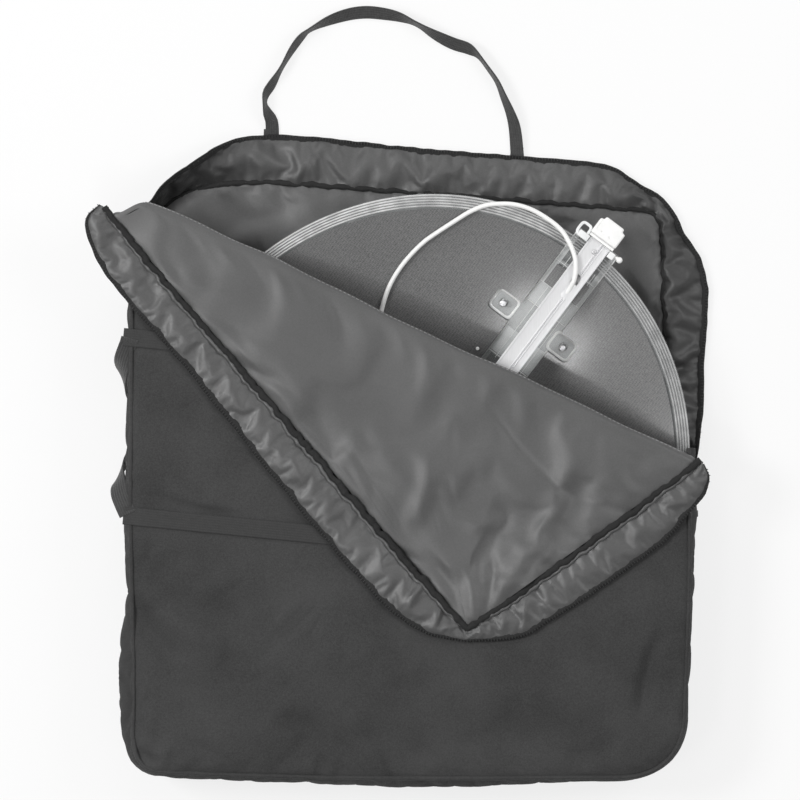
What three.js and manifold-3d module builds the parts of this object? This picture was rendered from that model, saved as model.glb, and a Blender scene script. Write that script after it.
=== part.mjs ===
// Portable satellite dish in its padded carry bag. Millimetres, +Z up.
// The bag lies on its back. The origin is on the flat underside of its back, +Y points to the
// top carry handle, and the top right corner of the front is unzipped and folded down.

import * as THREE from 'three';
import { mergeVertices } from 'three/addons/utils/BufferGeometryUtils.js';
import Module from 'manifold-3d';

const wasm = await Module();
wasm.setup();

// ---- driving dimensions ----------------------------------------------------------------

const TOUCH_GAP = 0.3; // between pieces that touch
const SLIDE_GAP = 0.9; // between pieces that slide past each other
const STITCH_GAP = 1.2; // between a wall and the zip sewn along it

// oval of the reflector, which the bag is made to fit
const DISH_HALF_LENGTH = 394;
const DISH_HALF_WIDTH = 371;

// seam round the back of the bag
const RIM_INTO_WALLS = 5; // the rim stands this far into the bowed side walls
const ROOM_BELOW = 22;
const ROOM_ABOVE = 8;
const BACK_HALF_WIDTH = DISH_HALF_WIDTH - RIM_INTO_WALLS;
const BACK_BELOW = DISH_HALF_LENGTH + ROOM_BELOW; // origin down to the bottom seam
const BACK_ABOVE = DISH_HALF_LENGTH + ROOM_ABOVE; // origin up to the top seam at the left
const TOP_DROP = 54; // the top seam falls this much to the right
const TOP_PULL = 20; // the right corners stand this much inside the widest place
const BOTTOM_PULL = 16;
const WIDEST_BELOW = 50; // the right side is widest this far below the origin
const WIDEST_PULL = 6;
const LARGE_CORNER = 95; // down the left side
const LARGE_CORNER_TOP = 200; // and along the top
const TIGHT_CORNER = 28;
const LOWER_CORNER = 45;
const SIDE_CURVE = 150;

// padded walls
const BACK_THICK = 10;
const FRONT_THICK = 8;
const WALL_THICK = 5;
const WALL_BULGE = 20; // the closed walls bow out this much half way up
const WALL_LEAN = 22; // the front seam stands this far outside the back seam
const WALL_FOOT = 1; // the walls start this far over the floor
const OPEN_WIDTH = 54; // wall that lies open round the mouth
const OPEN_FROM = 128; // it is fully open this far right of the left side
const CORNER_TUCK = 0.69; // share of its width that is gathered up at the right top corner
const CORNER_TUCK_SPAN = 55;
const SIDE_TUCK = 0.28; // and at the lower end of the open right side
const SIDE_TUCK_FROM = 240; // over the origin
const OPEN_RISE = 9.6; // its top over the floor
const ZIP_WIDTH = 6;
const ZIP_OVER_MIDDLE = 4; // its height over the middle of the walls
const TAPE_WIDTH = 10;
const STRAIGHT_STEP = 45; // between the bends of a straight wall
const CORNER_STEP = 17;
const WALL_ROWS = 4;

// fold across the front
const FOLD_LEFT = [-434, 356];
const FOLD_TURN = -22.94; // degrees
const FOLD_LENGTH = 901;
const FOLD_GAP = 2; // each panel stops this far from the fold line
const FLAP_APEX_ALONG = 698;
const FLAP_APEX_DEPTH = 345;
const FLAP_SIDE_MARGIN = 4;
const FLAP_WALL_WIDTH = 60;
const PIPING_SHARE = 0.16; // of the wall beside the flap's seam
const TAPE_SHARE = 0.1;
const LONG_BAND_STEPS = 26;
const SHORT_BAND_STEPS = 16;

// reflector
const DISH_PLACE = [6, -14];
const ARM_TURN = 36.87; // degrees that the arm leans to the right
const DISH_DEPTH = 76;
const DISH_THICK = 3;
const DISH_OVER_BACK = 0.5;
const FLANGE_START = 0.955; // of the half width
const MESH_THICK = 0.8;
const MESH_REACH = 0.968; // of the bowl's half width
const RIB_HEIGHT = 4;
const RIB_COUNT = 4;
const RIB_SHARE = 0.6; // of the pitch

// moulded bracket under the dish
const BRACKET_SIDE = 7; // to the right of the dish's middle
const BRACKET_HALF_WIDTH = 31;
const BRACKET_THICK = 6;
const BRACKET_START = 0.4365 * DISH_HALF_LENGTH;
const BRACKET_END = DISH_HALF_LENGTH + 12;
const BRACKET_TOUCH = 0.71 * DISH_HALF_LENGTH; // it runs along the dish's underside here
const BRACKET_DROP = 2;
const RAIL_WIDTH = 5.6;
const RIB_STEP = 52;
const TAB_PLACE = 0.66 * DISH_HALF_LENGTH;
const TAB_REACH = 52;
const TAB_SIZE = 33;
const TAB_CORNER = 7;
const SCREW_RADIUS = 2.5;
const SCREW_HEAD_RADIUS = 4.8;
const SCREW_HEAD_HEIGHT = 3;
const SCREW_CLEAR = 0.5;
const NUT_RADIUS = 5;
const NUT_HEIGHT = 4;
const SHANK_PAST_NUT = 1;
const SEAT_GAP = 1.3; // screw head over the bowl's middle height at the tab
const CROSS_LENGTH = 6;
const CROSS_WIDTH = 1.1;

// sliding arm and feed head
const ARM_SIDE = 13.5; // to the right of the dish's middle
const ARM_WIDTH = 33;
const ARM_HEIGHT = 15;
const ARM_WALL = 2;
const ARM_INNER_END = 7;
const ARM_OUTER_END = DISH_HALF_LENGTH + 12.5;
const GROOVE_WIDTH = 3;
const GROOVE_DEPTH = 0.8;
const GROOVE_SIDE = 3;
const CABLE_SLOT_LENGTH = 40;
const CABLE_SLOT_WIDTH = 11;
const CABLE_SLOT_PLACE = 0.845 * DISH_HALF_LENGTH;
const CABLE_SLOT_SIDE = 3;
const BUTTON_RADIUS = 3.2;
const BUTTON_RISE = 1.2;
const BUTTON_PLACE = ARM_OUTER_END - 15.5;
const COLLAR_LENGTH = 4;
const COLLAR_WIDTH = 40;
const COLLAR_HEIGHT = 19;
const PLUG_LENGTH = 9;
const HEAD_LENGTH = 30;
const HEAD_WIDTH = 42;
const HEAD_HEIGHT = 22;
const HEAD_EDGE = 3;
const CRADLE_OUT = 2; // past the end of the dish
const CRADLE_LENGTH = 9.5;
const CRADLE_LEFT_REACH = 34;
const CRADLE_RIGHT_REACH = 27;
const CRADLE_HEIGHT = 108;
const CRADLE_EYE = 7;
const CRADLE_BLANK = 50; // its height before the bracket's slope is cut off it
const EYE_RING_HEIGHT = 12;
const EYE_RING_OUT = 8;
const KNOB_RADIUS = 5;
const KNOB_STEM_RADIUS = 1.8;
const KNOB_STEM_LENGTH = 7.5;
const KNOB_OUT = 3;
const KNOB_FORWARD = 2;

// coaxial cable
const CABLE_RADIUS = 3.25;
const CABLE_SIDES = 8;
const CABLE_STEPS = 62;
const CONNECTOR_LENGTH = 22;
const CONNECTOR_RADIUS = 5;
const CONNECTOR_NUT_RADIUS = 6.5;
const CONNECTOR_SLEEVE_RADIUS = 3.85;
const CONNECTOR_SLEEVE_END = 0.45; // of its length
const CONNECTOR_NUT_END = 0.85;
const ROUTE_HALF_LENGTH = 394; // the route is drawn for a dish of this half length
const CABLE_ROUTE = [
  [17.4, 311.8, 95.6], [17.1, 322.2, 98.3], [16.7, 331.9, 102.2], [14.9, 341.8, 106.3],
  [8.5, 354.5, 107.2], [-3.4, 368.7, 107], [-21.4, 380.2, 100], [-43.1, 388.3, 93],
  [-68.7, 389.1, 91], [-93.1, 385.8, 91], [-115, 377.5, 91], [-132.4, 365.7, 91],
  [-147.3, 351.4, 91], [-159, 332, 90], [-167.9, 309.7, 84.5], [-176.6, 286.3, 78],
  [-184.7, 262.1, 72], [-189, 237, 66.5], [-190.1, 209.3, 60.5], [-186.4, 180.2, 54],
  [-175.3, 147.9, 46.5], [-156.4, 110.2, 38.5], [-134.2, 70.6, 31.5], [-105.1, 36.8, 26],
  [-68.7, 11.6, 22], [-27.7, -1.4, 19.5], [15, 2.5, 19.5], [52.8, 22.1, 21], [80.8, 55.6, 25],
  [93.4, 96.3, 31], [90, 130, 36.5],
];

// webbing
const WEB_THICK = 2;
const WEB_WIDTH = 25;
const HANDLE_PLAN_WIDTH = 16; // the handle's band lies twisted, so it looks narrower
const HANDLE_THICK = 5;
const HANDLE_OUT = 8; // its swing line stands this far outside the zip tape
const HANDLE_HEM = 3;
const HANDLE_LEAD = 12; // the band leaves its swing line at right angles for this far
const TAB_INSIDE = 40;
// across, and above the top seam
const HANDLE_BAND = [
  [-208, 98], [-210, 120], [-184, 153], [-147, 196], [-109, 219], [-68, 225], [-18, 215],
  [42, 188], [82, 170], [115, 130], [130, 82], [138, 53],
];
const HANDLE_FEET = [-200, 144]; // along X
const SIDE_LEG_UPPER = 172;
const SIDE_LEG_LOWER = -77;
const SIDE_LEG_LENGTH = 300;
const SIDE_LEG_TURN = -5.6; // degrees
const SIDE_DROP = 106;
const SIDE_STAND_OFF = 5;
const SIDE_CORNER = 22;

// zip sliders
const SLIDER_LENGTH = 16;
const SLIDER_WIDTH = 8;
const SLIDER_DEPTH = 4;
const SLIDER_OFF = 1.7; // the tape bends more than the slider's straight run
const PULL_LENGTH = 30;
const PULL_WIDTH = 7;
const PULL_THICK = 2;
const PULL_HOLE_WIDTH = 3.5;
const PULL_HOLE_LENGTH = 7;
const PULL_HOLE_UP = 7; // its middle over the tab's foot
const RIGHT_SLIDER_PLACE = -75; // along Y
const SLIDER_BELOW_CORNER = 11;
const LEFT_SLIDER_PLACE = BACK_ABOVE - LARGE_CORNER - SLIDER_BELOW_CORNER;

// ---- heights that follow from them -----------------------------------------------------

const dishBottom = BACK_THICK + DISH_OVER_BACK;
const dishTop = dishBottom + DISH_THICK;
const flangeTop = dishTop + DISH_DEPTH * FLANGE_START ** 2;
const rimTop = flangeTop + TOUCH_GAP + RIB_HEIGHT;
const armBottom = rimTop + SLIDE_GAP;
const armTop = armBottom + ARM_HEIGHT;
const headTop = armBottom + HEAD_HEIGHT;
const frontBottom = Math.max(headTop, armTop + TOUCH_GAP + 2 * CABLE_RADIUS) + 3 * SLIDE_GAP;
const frontTop = frontBottom + FRONT_THICK;
const flapBottom = frontTop + TOUCH_GAP + WEB_THICK + SLIDE_GAP;
const zipMiddle = frontBottom / 2 + ZIP_OVER_MIDDLE;
const zipLow = zipMiddle - ZIP_WIDTH / 2;
const zipHigh = zipMiddle + ZIP_WIDTH / 2;
const degrees = THREE.MathUtils.degToRad;

// ---- materials --------------------------------------------------------------------------

function finish(colour, roughness, metalness = 0, opacity = 1) {
  return new THREE.MeshStandardMaterial({
    color: colour, roughness, metalness, opacity, transparent: opacity < 1,
  });
}

const outerFabric = finish(0x4a4a4a, 0.85);
const lining = finish(0x66666a, 0.5);
const zipCoil = finish(0x202022, 0.6);
const webbing = finish(0x2c2c2e, 0.8);
const zipMetal = finish(0x55555a, 0.35, 1);
const clearPlastic = finish(0xd8dcdc, 0.15, 0, 0.35);
const meshWire = finish(0x8a8a8a, 0.4, 0.6);
const aluminium = finish(0xdcdcde, 0.35, 0.9);
const whitePlastic = finish(0xf2f2f0, 0.4);
const steel = finish(0xc8c8ca, 0.3, 1);
const cableSheath = finish(0xf4f4f2, 0.45);

// ---- making closed meshes ---------------------------------------------------------------

function volumeOf(geometry) {
  const place = geometry.attributes.position;
  const corner = geometry.index.array;
  const [a, b, c] = [new THREE.Vector3(), new THREE.Vector3(), new THREE.Vector3()];
  let total = 0;
  for (let i = 0; i < corner.length; i += 3) {
    a.fromBufferAttribute(place, corner[i]);
    b.fromBufferAttribute(place, corner[i + 1]);
    c.fromBufferAttribute(place, corner[i + 2]);
    total += a.dot(b.cross(c)) / 6;
  }
  return total;
}

// one closed skin with its faces pointing out
function closed(geometry) {
  geometry.deleteAttribute('normal');
  geometry.deleteAttribute('uv');
  const skin = mergeVertices(geometry, 1e-4);
  if (volumeOf(skin) < 0) {
    const corner = skin.index.array;
    for (let i = 0; i < corner.length; i += 3) {
      [corner[i], corner[i + 1]] = [corner[i + 1], corner[i]];
    }
  }
  return skin;
}

function toSolid(geometry) {
  return new wasm.Manifold(new wasm.Mesh({
    numProp: 3,
    vertProperties: new Float32Array(geometry.attributes.position.array),
    triVerts: new Uint32Array(geometry.index.array),
  }));
}

function toGeometry(solid) {
  const mesh = solid.getMesh();
  const geometry = new THREE.BufferGeometry();
  geometry.setAttribute('position', new THREE.BufferAttribute(mesh.vertProperties, 3));
  geometry.setIndex(new THREE.BufferAttribute(mesh.triVerts, 1));
  return geometry;
}

function without(geometry, ...tools) {
  let solid = toSolid(geometry);
  for (const tool of tools) solid = solid.subtract(toSolid(tool));
  return toGeometry(solid);
}

function joined(geometry, ...others) {
  let solid = toSolid(geometry);
  for (const other of others) solid = solid.add(toSolid(other));
  return toGeometry(solid);
}

function box(wide, deep, high, x = 0, y = 0, z = 0) {
  return closed(new THREE.BoxGeometry(wide, deep, high).translate(x, y, z));
}

// upright round bar with its foot at z
function bar(radius, height, x = 0, y = 0, z = 0, sides = 20) {
  const round = new THREE.CylinderGeometry(radius, radius, height, sides).rotateX(Math.PI / 2);
  return closed(round.translate(x, y, z + height / 2));
}

function plate(shape, thick, z, curveSegments = 6) {
  const flat = new THREE.ExtrudeGeometry(shape, { depth: thick, bevelEnabled: false, curveSegments });
  return closed(flat.translate(0, 0, z));
}

// padded sheet: place(s, t, w) gives a point for s and t across it and w through it
function sheet(place, alongSteps, acrossSteps) {
  const block = new THREE.BoxGeometry(1, 1, 1, alongSteps, acrossSteps, 1);
  const point = block.attributes.position;
  for (let i = 0; i < point.count; i += 1) {
    const [x, y, z] = place(point.getX(i) + 0.5, point.getY(i) + 0.5, point.getZ(i) + 0.5);
    point.setXYZ(i, x, y, z);
  }
  return closed(block);
}

const part = new THREE.Group();

function piece(name, geometry, material, group = part) {
  const mesh = new THREE.Mesh(geometry, material);
  mesh.name = name;
  group.add(mesh);
  return mesh;
}

// ---- seam round the back ----------------------------------------------------------------

const topRight = [BACK_HALF_WIDTH - TOP_PULL, BACK_ABOVE - TOP_DROP];
const seamCorners = [
  { at: [-BACK_HALF_WIDTH, BACK_ABOVE], round: LARGE_CORNER, roundAfter: LARGE_CORNER_TOP },
  { at: topRight, round: TIGHT_CORNER },
  { at: [BACK_HALF_WIDTH - WIDEST_PULL, -WIDEST_BELOW], round: SIDE_CURVE },
  { at: [BACK_HALF_WIDTH - BOTTOM_PULL, -BACK_BELOW], round: LOWER_CORNER },
  { at: [-BACK_HALF_WIDTH, -BACK_BELOW], round: LOWER_CORNER },
];

// clockwise path with each corner rounded off
function roundedLoop(corners) {
  const path = new THREE.Path();
  const last = corners.length - 1;
  corners.forEach(({ at, round, roundAfter = round }, i) => {
    const here = new THREE.Vector2(...at);
    const before = new THREE.Vector2(...corners[i === 0 ? last : i - 1].at);
    const after = new THREE.Vector2(...corners[i === last ? 0 : i + 1].at);
    const start = here.clone().add(before.sub(here).setLength(round));
    const end = here.clone().add(after.sub(here).setLength(roundAfter));
    if (i === 0) path.moveTo(start.x, start.y);
    else path.lineTo(start.x, start.y);
    path.quadraticCurveTo(here.x, here.y, end.x, end.y);
  });
  path.closePath();
  return path;
}

const seam = roundedLoop(seamCorners);
const SEAM_SAMPLES = 1600;
const seamLength = seam.getLength();

function seamPoint(station, out = 0) {
  const share = station / seamLength - Math.floor(station / seamLength);
  const here = seam.getPointAt(share);
  const ahead = seam.getTangentAt(share);
  return [here.x - ahead.y * out, here.y + ahead.x * out, -ahead.y, ahead.x];
}

// length along the seam of its nearest place to x, y
function stationNear(x, y) {
  let best = [Infinity, 0];
  for (let i = 0; i < SEAM_SAMPLES; i += 1) {
    const station = (i / SEAM_SAMPLES) * seamLength;
    const [sx, sy] = seamPoint(station);
    const away = Math.hypot(sx - x, sy - y);
    if (away < best[0]) best = [away, station];
  }
  return best[1];
}

const leftTopStart = stationNear(-BACK_HALF_WIDTH, BACK_ABOVE - LARGE_CORNER);
const topSlope = TOP_DROP / (2 * BACK_HALF_WIDTH - TOP_PULL);
const leftTopEnd = stationNear(-BACK_HALF_WIDTH + LARGE_CORNER_TOP, BACK_ABOVE - LARGE_CORNER_TOP * topSlope);
const mouthLeftOpen = stationNear(-BACK_HALF_WIDTH + OPEN_FROM, BACK_ABOVE - OPEN_FROM * topSlope);
const rightTop = stationNear(...topRight);
const sideTuckStart = stationNear(BACK_HALF_WIDTH, SIDE_TUCK_FROM);
const rightTopStart = stationNear(topRight[0] - 2 * TIGHT_CORNER, topRight[1]);
const rightTopEnd = stationNear(topRight[0], topRight[1] - 2 * TIGHT_CORNER);
const mouthRightOpen = stationNear(BACK_HALF_WIDTH, 2 * WIDEST_BELOW);
const mouthRightClosed = stationNear(BACK_HALF_WIDTH, -WIDEST_BELOW);
const rightBottomStart = stationNear(BACK_HALF_WIDTH - BOTTOM_PULL, -BACK_BELOW + LOWER_CORNER);
const rightBottomEnd = stationNear(BACK_HALF_WIDTH - BOTTOM_PULL - LOWER_CORNER, -BACK_BELOW);
const leftBottomStart = stationNear(-BACK_HALF_WIDTH + LOWER_CORNER, -BACK_BELOW);
const leftBottomEnd = stationNear(-BACK_HALF_WIDTH, -BACK_BELOW + LOWER_CORNER) - seamLength;

// 0 where the mouth is zipped shut, 1 where its edge lies open
function openness(station) {
  const opens = THREE.MathUtils.smoothstep(station, leftTopStart, mouthLeftOpen);
  const shuts = THREE.MathUtils.smoothstep(station, mouthRightOpen, mouthRightClosed);
  return station > seamLength ? 0 : opens * (1 - shuts);
}

// how far from the seam a place on the open wall lies, with the width that is gathered up taken off
function openReach(station, at) {
  const away = (station - rightTop) / CORNER_TUCK_SPAN;
  const atSide = THREE.MathUtils.smoothstep(station, sideTuckStart, mouthRightOpen);
  const tuck = CORNER_TUCK * Math.exp(-away * away) + SIDE_TUCK * atSide;
  return at > OPEN_WIDTH ? at - OPEN_WIDTH * tuck : at * (1 - tuck);
}

// how far a closed wall stands outside the back seam at height z
function wallOut(z) {
  const share = z / frontTop;
  return TOUCH_GAP + WALL_LEAN * share + WALL_BULGE * Math.sin(Math.PI * share);
}

// a band of the wall: from one height to another where closed, and from one reach to another
// where it lies open
function wallBand(from, to, closedSpan, openSpan, acrossSteps) {
  const stations = stationsBetween(from, to);
  return sheet((s, t, w) => {
    const station = stations[Math.round(s * (stations.length - 1))];
    const open = openness(station);
    const z = THREE.MathUtils.lerp(closedSpan[0], closedSpan[1], t);
    const shutOut = wallOut(z) + w * WALL_THICK;
    const openOut = TOUCH_GAP + openReach(station, THREE.MathUtils.lerp(openSpan[0], openSpan[1], t));
    const openZ = OPEN_RISE - w * WALL_THICK;
    const [x, y] = seamPoint(station, THREE.MathUtils.lerp(shutOut, openOut, open));
    return [x, y, THREE.MathUtils.lerp(z, openZ, open)];
  }, stations.length - 1, acrossSteps);
}

const wallSpans = [
  ['left', leftBottomEnd, leftTopStart],
  ['left_top_corner', leftTopStart, leftTopEnd],
  ['top', leftTopEnd, rightTopStart],
  ['right_top_corner', rightTopStart, rightTopEnd],
  ['right_open', rightTopEnd, mouthRightOpen],
  ['right_turn', mouthRightOpen, mouthRightClosed],
  ['right', mouthRightClosed, rightBottomStart],
  ['right_bottom_corner', rightBottomStart, rightBottomEnd],
  ['bottom', rightBottomEnd, leftBottomStart],
  ['left_bottom_corner', leftBottomStart, leftBottomEnd + seamLength],
];

// every wall piece bends at the same stations, so neighbours stay parallel
const wallStations = [];
for (const [where, from, to] of wallSpans) {
  const step = /corner|turn/.test(where) ? CORNER_STEP : STRAIGHT_STEP;
  const count = Math.ceil((to - from) / step);
  for (let i = 0; i < count; i += 1) wallStations.push(from + (i / count) * (to - from));
}
wallStations.push(leftBottomEnd + seamLength);

function stationsBetween(from, to) {
  const inner = wallStations.filter((at) => at > from + 1 && at < to - 1);
  return [from + TOUCH_GAP / 2, ...inner, to - TOUCH_GAP / 2];
}

const rearHeights = [WALL_FOOT, zipLow - STITCH_GAP];
const zipHeights = [zipLow, zipHigh];
const frontHeights = [zipHigh + STITCH_GAP, frontBottom - TOUCH_GAP];
const tapeReach = [OPEN_WIDTH + STITCH_GAP, OPEN_WIDTH + TAPE_WIDTH];

for (const [where, from, to] of wallSpans) {
  piece(`rear_wall_${where}`, wallBand(from, to, rearHeights, [0, OPEN_WIDTH], WALL_ROWS), outerFabric);
}

const zipSpans = [
  ['left', leftBottomEnd, leftTopStart],
  ['top', leftTopStart, rightTopStart],
  ['right_top', rightTopStart, mouthRightClosed],
  ['right', mouthRightClosed, rightBottomStart],
  ['bottom', rightBottomStart, leftBottomEnd + seamLength],
];
for (const [where, from, to] of zipSpans) {
  piece(`zip_tape_${where}`, wallBand(from, to, zipHeights, tapeReach, 1), zipCoil);
}

// the front walls never open: the rest of them folds down with the corner of the front
const frontStart = wallStations.find((at) => at > (mouthRightOpen + mouthRightClosed) / 2);

function frontWall(from, to) {
  const stations = stationsBetween(from, to);
  return sheet((s, t, w) => {
    const station = stations[Math.round(s * (stations.length - 1))];
    const z = THREE.MathUtils.lerp(frontHeights[0], frontHeights[1], t);
    const [x, y] = seamPoint(station, wallOut(z) + w * WALL_THICK);
    return [x, y, z];
  }, stations.length - 1, WALL_ROWS);
}

piece('front_wall_right', frontWall(frontStart, rightBottomStart), outerFabric);
piece('front_wall_bottom', frontWall(rightBottomStart, leftBottomEnd + seamLength), outerFabric);
piece('front_wall_left', frontWall(leftBottomEnd, leftTopStart), outerFabric);

// ---- back and front panels --------------------------------------------------------------

// outline of a panel whose edge bends with the walls
function seamShape(out) {
  const shape = new THREE.Shape();
  wallStations.slice(0, -1).forEach((station, i) => {
    const [x, y] = seamPoint(station, out);
    if (i === 0) shape.moveTo(x, y);
    else shape.lineTo(x, y);
  });
  shape.closePath();
  return shape;
}

const foldFrame = new THREE.Matrix4()
  .makeRotationZ(degrees(FOLD_TURN))
  .setPosition(FOLD_LEFT[0], FOLD_LEFT[1], 0);

const beyondFold = box(3 * FOLD_LENGTH, FOLD_LENGTH, frontTop, 0, FOLD_LENGTH / 2 - FOLD_GAP, frontTop)
  .applyMatrix4(foldFrame);

piece('back_panel', plate(seamShape(0), BACK_THICK, 0), outerFabric);
piece(
  'front_panel',
  without(plate(seamShape(wallOut(frontTop) + WALL_THICK), FRONT_THICK, frontBottom), beyondFold),
  outerFabric,
);

// ---- folded-down corner of the front ----------------------------------------------------

// along x runs the fold, and -y points down over the front panel
const flap = new THREE.Group();
flap.applyMatrix4(foldFrame);
flap.position.z = flapBottom;
part.add(flap);

const flapApex = [FLAP_APEX_ALONG, -FLAP_APEX_DEPTH];
const flapLeft = [FLAP_SIDE_MARGIN, -FOLD_GAP];
const flapRight = [FOLD_LENGTH + FLAP_SIDE_MARGIN, -FOLD_GAP];

const flapShape = new THREE.Shape();
flapShape.moveTo(flapLeft[0] + FLAP_SIDE_MARGIN, flapLeft[1]);
flapShape.lineTo(flapRight[0] - FLAP_SIDE_MARGIN, flapRight[1]);
flapShape.lineTo(flapApex[0], flapApex[1] + FLAP_SIDE_MARGIN);
flapShape.closePath();
piece('flap_panel', plate(flapShape, FRONT_THICK, 0), lining, flap);

// free edge of the wall beside the flap: shares of the seam's length, and of the wall's width
const longReach = [
  [-0.008, 0.05], [-0.005, 0.48], [0.017, 0.75], [0.073, 0.97], [0.16, 1.02], [0.297, 0.99],
  [0.639, 1.13], [0.859, 1.1], [0.949, 0.85], [1.013, 0.27],
];
const shortReach = [
  [-0.038, 0.19], [0.099, 0.77], [0.231, 0.98], [0.676, 1.06], [0.931, 0.73], [1.025, 0.27],
];

function freeEdge(start, end, reach) {
  const from = new THREE.Vector2(...start);
  const along = new THREE.Vector2(...end).sub(from);
  const out = new THREE.Vector2(along.y, -along.x).setLength(FLAP_WALL_WIDTH);
  return new THREE.SplineCurve(reach.map(([far, wide]) => from.clone()
    .addScaledVector(along, far).addScaledVector(out, wide)));
}

const longEdge = freeEdge(flapLeft, flapApex, longReach);
const shortEdge = freeEdge(flapApex, flapRight, shortReach);

function flapBand(seamStart, seamEnd, edge, span, thick, steps) {
  return sheet((s, t, w) => {
    const share = THREE.MathUtils.lerp(span[0], span[1], t);
    const inner = [
      THREE.MathUtils.lerp(seamStart[0], seamEnd[0], s),
      THREE.MathUtils.lerp(seamStart[1], seamEnd[1], s),
    ];
    const outer = edge.getPointAt(s);
    return [
      THREE.MathUtils.lerp(inner[0], outer.x, share),
      THREE.MathUtils.lerp(inner[1], outer.y, share),
      w * thick,
    ];
  }, steps, 1);
}

const bandShare = TOUCH_GAP / OPEN_WIDTH;
const flapBands = [
  ['flap_piping', [0, PIPING_SHARE], FRONT_THICK, zipCoil],
  ['flap_wall', [PIPING_SHARE + bandShare, 1 - TAPE_SHARE], WALL_THICK, lining],
  ['flap_zip_tape', [1 - TAPE_SHARE + bandShare, 1], WALL_THICK, zipCoil],
];
const apexLeft = [flapApex[0] - TOUCH_GAP, flapApex[1]];
const apexRight = [flapApex[0] + TOUCH_GAP, flapApex[1]];
for (const [name, span, thick, material] of flapBands) {
  const long = flapBand(flapLeft, apexLeft, longEdge, span, thick, LONG_BAND_STEPS);
  piece(`${name}_long`, long, material, flap);
  const short = flapBand(apexRight, flapRight, shortEdge, span, thick, SHORT_BAND_STEPS);
  piece(`${name}_short`, short.translate(2 * TOUCH_GAP, 0, 0), material, flap);
}

// ---- dish -------------------------------------------------------------------------------

// along +y of this group runs the arm
const dish = new THREE.Group();
dish.position.set(DISH_PLACE[0], DISH_PLACE[1], 0);
dish.rotation.z = -degrees(ARM_TURN);
part.add(dish);

const stretch = DISH_HALF_LENGTH / DISH_HALF_WIDTH;
const DISH_RINGS = 7;
const DISH_SIDES = 56;

function bowlHeight(share) {
  return DISH_DEPTH * Math.min(share, FLANGE_START) ** 2;
}

// turned on the dish's middle, then stretched to its oval
function turned(profile) {
  const points = profile.map(([radius, z]) => new THREE.Vector2(radius, z));
  const round = new THREE.LatheGeometry(points, DISH_SIDES).rotateX(Math.PI / 2);
  return closed(round.scale(1, stretch, 1));
}

// shares of the half width from the middle to the edge of the bowl
const bowlShares = Array.from({ length: DISH_RINGS + 1 }, (_, i) => (i / DISH_RINGS) * FLANGE_START);
const bowlLine = (shares, z) => shares.map((share) => [share * DISH_HALF_WIDTH, z + bowlHeight(share)]);

const reflectorBlank = turned([
  ...bowlLine([...bowlShares, 1], dishBottom),
  ...bowlLine([...bowlShares, 1], dishTop).reverse(),
]);

const meshShares = bowlShares.map((share) => share * MESH_REACH);
const meshBlank = turned([
  ...bowlLine(meshShares, dishTop + TOUCH_GAP),
  ...bowlLine(meshShares, dishTop + TOUCH_GAP + MESH_THICK).reverse(),
]);

// clear rim with raised ribs that run round it
const flangeWidth = (1 - FLANGE_START) * DISH_HALF_WIDTH;
const ribPitch = flangeWidth / RIB_COUNT;
const ribFloor = flangeTop + TOUCH_GAP;
const rimStart = FLANGE_START * DISH_HALF_WIDTH + TOUCH_GAP;
const rimProfile = [[rimStart, ribFloor]];
for (let i = 0; i < RIB_COUNT; i += 1) {
  const start = rimStart + i * ribPitch;
  rimProfile.push([start, ribFloor + RIB_HEIGHT], [start + ribPitch * RIB_SHARE, ribFloor + RIB_HEIGHT]);
  if (i < RIB_COUNT - 1) {
    rimProfile.push([start + ribPitch * RIB_SHARE, ribFloor + RIB_HEIGHT / 2]);
    rimProfile.push([start + ribPitch, ribFloor + RIB_HEIGHT / 2]);
  }
}
rimProfile.push([rimStart + (RIB_COUNT - 1 + RIB_SHARE) * ribPitch, ribFloor], [rimStart, ribFloor]);
piece('rim', turned(rimProfile), clearPlastic, dish);

// ---- bracket under the dish, with screws through it -------------------------------------

const halfLength = DISH_HALF_LENGTH;
const touchHeight = dishBottom + DISH_DEPTH * (BRACKET_TOUCH / halfLength) ** 2;
const touchSlope = Math.atan((2 * DISH_DEPTH * BRACKET_TOUCH) / halfLength ** 2);
const bracket = new THREE.Group();
bracket.position.set(BRACKET_SIDE, BRACKET_TOUCH, touchHeight - BRACKET_DROP);
bracket.rotation.x = touchSlope;
dish.add(bracket);
bracket.updateMatrix();

// distance from the dish's middle to distance along the sloping bracket
const alongBracket = (place) => (place - BRACKET_TOUCH) / Math.cos(touchSlope);

function roundedPlate(wide, deep, corner, x, y, thick, z) {
  const shape = new THREE.Shape();
  const [right, top] = [wide / 2 - corner, deep / 2 - corner];
  shape.absarc(x + right, y + top, corner, 0, Math.PI / 2);
  shape.absarc(x - right, y + top, corner, Math.PI / 2, Math.PI);
  shape.absarc(x - right, y - top, corner, Math.PI, 1.5 * Math.PI);
  shape.absarc(x + right, y - top, corner, 1.5 * Math.PI, 2 * Math.PI);
  shape.closePath();
  return plate(shape, thick, z, 4);
}

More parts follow.
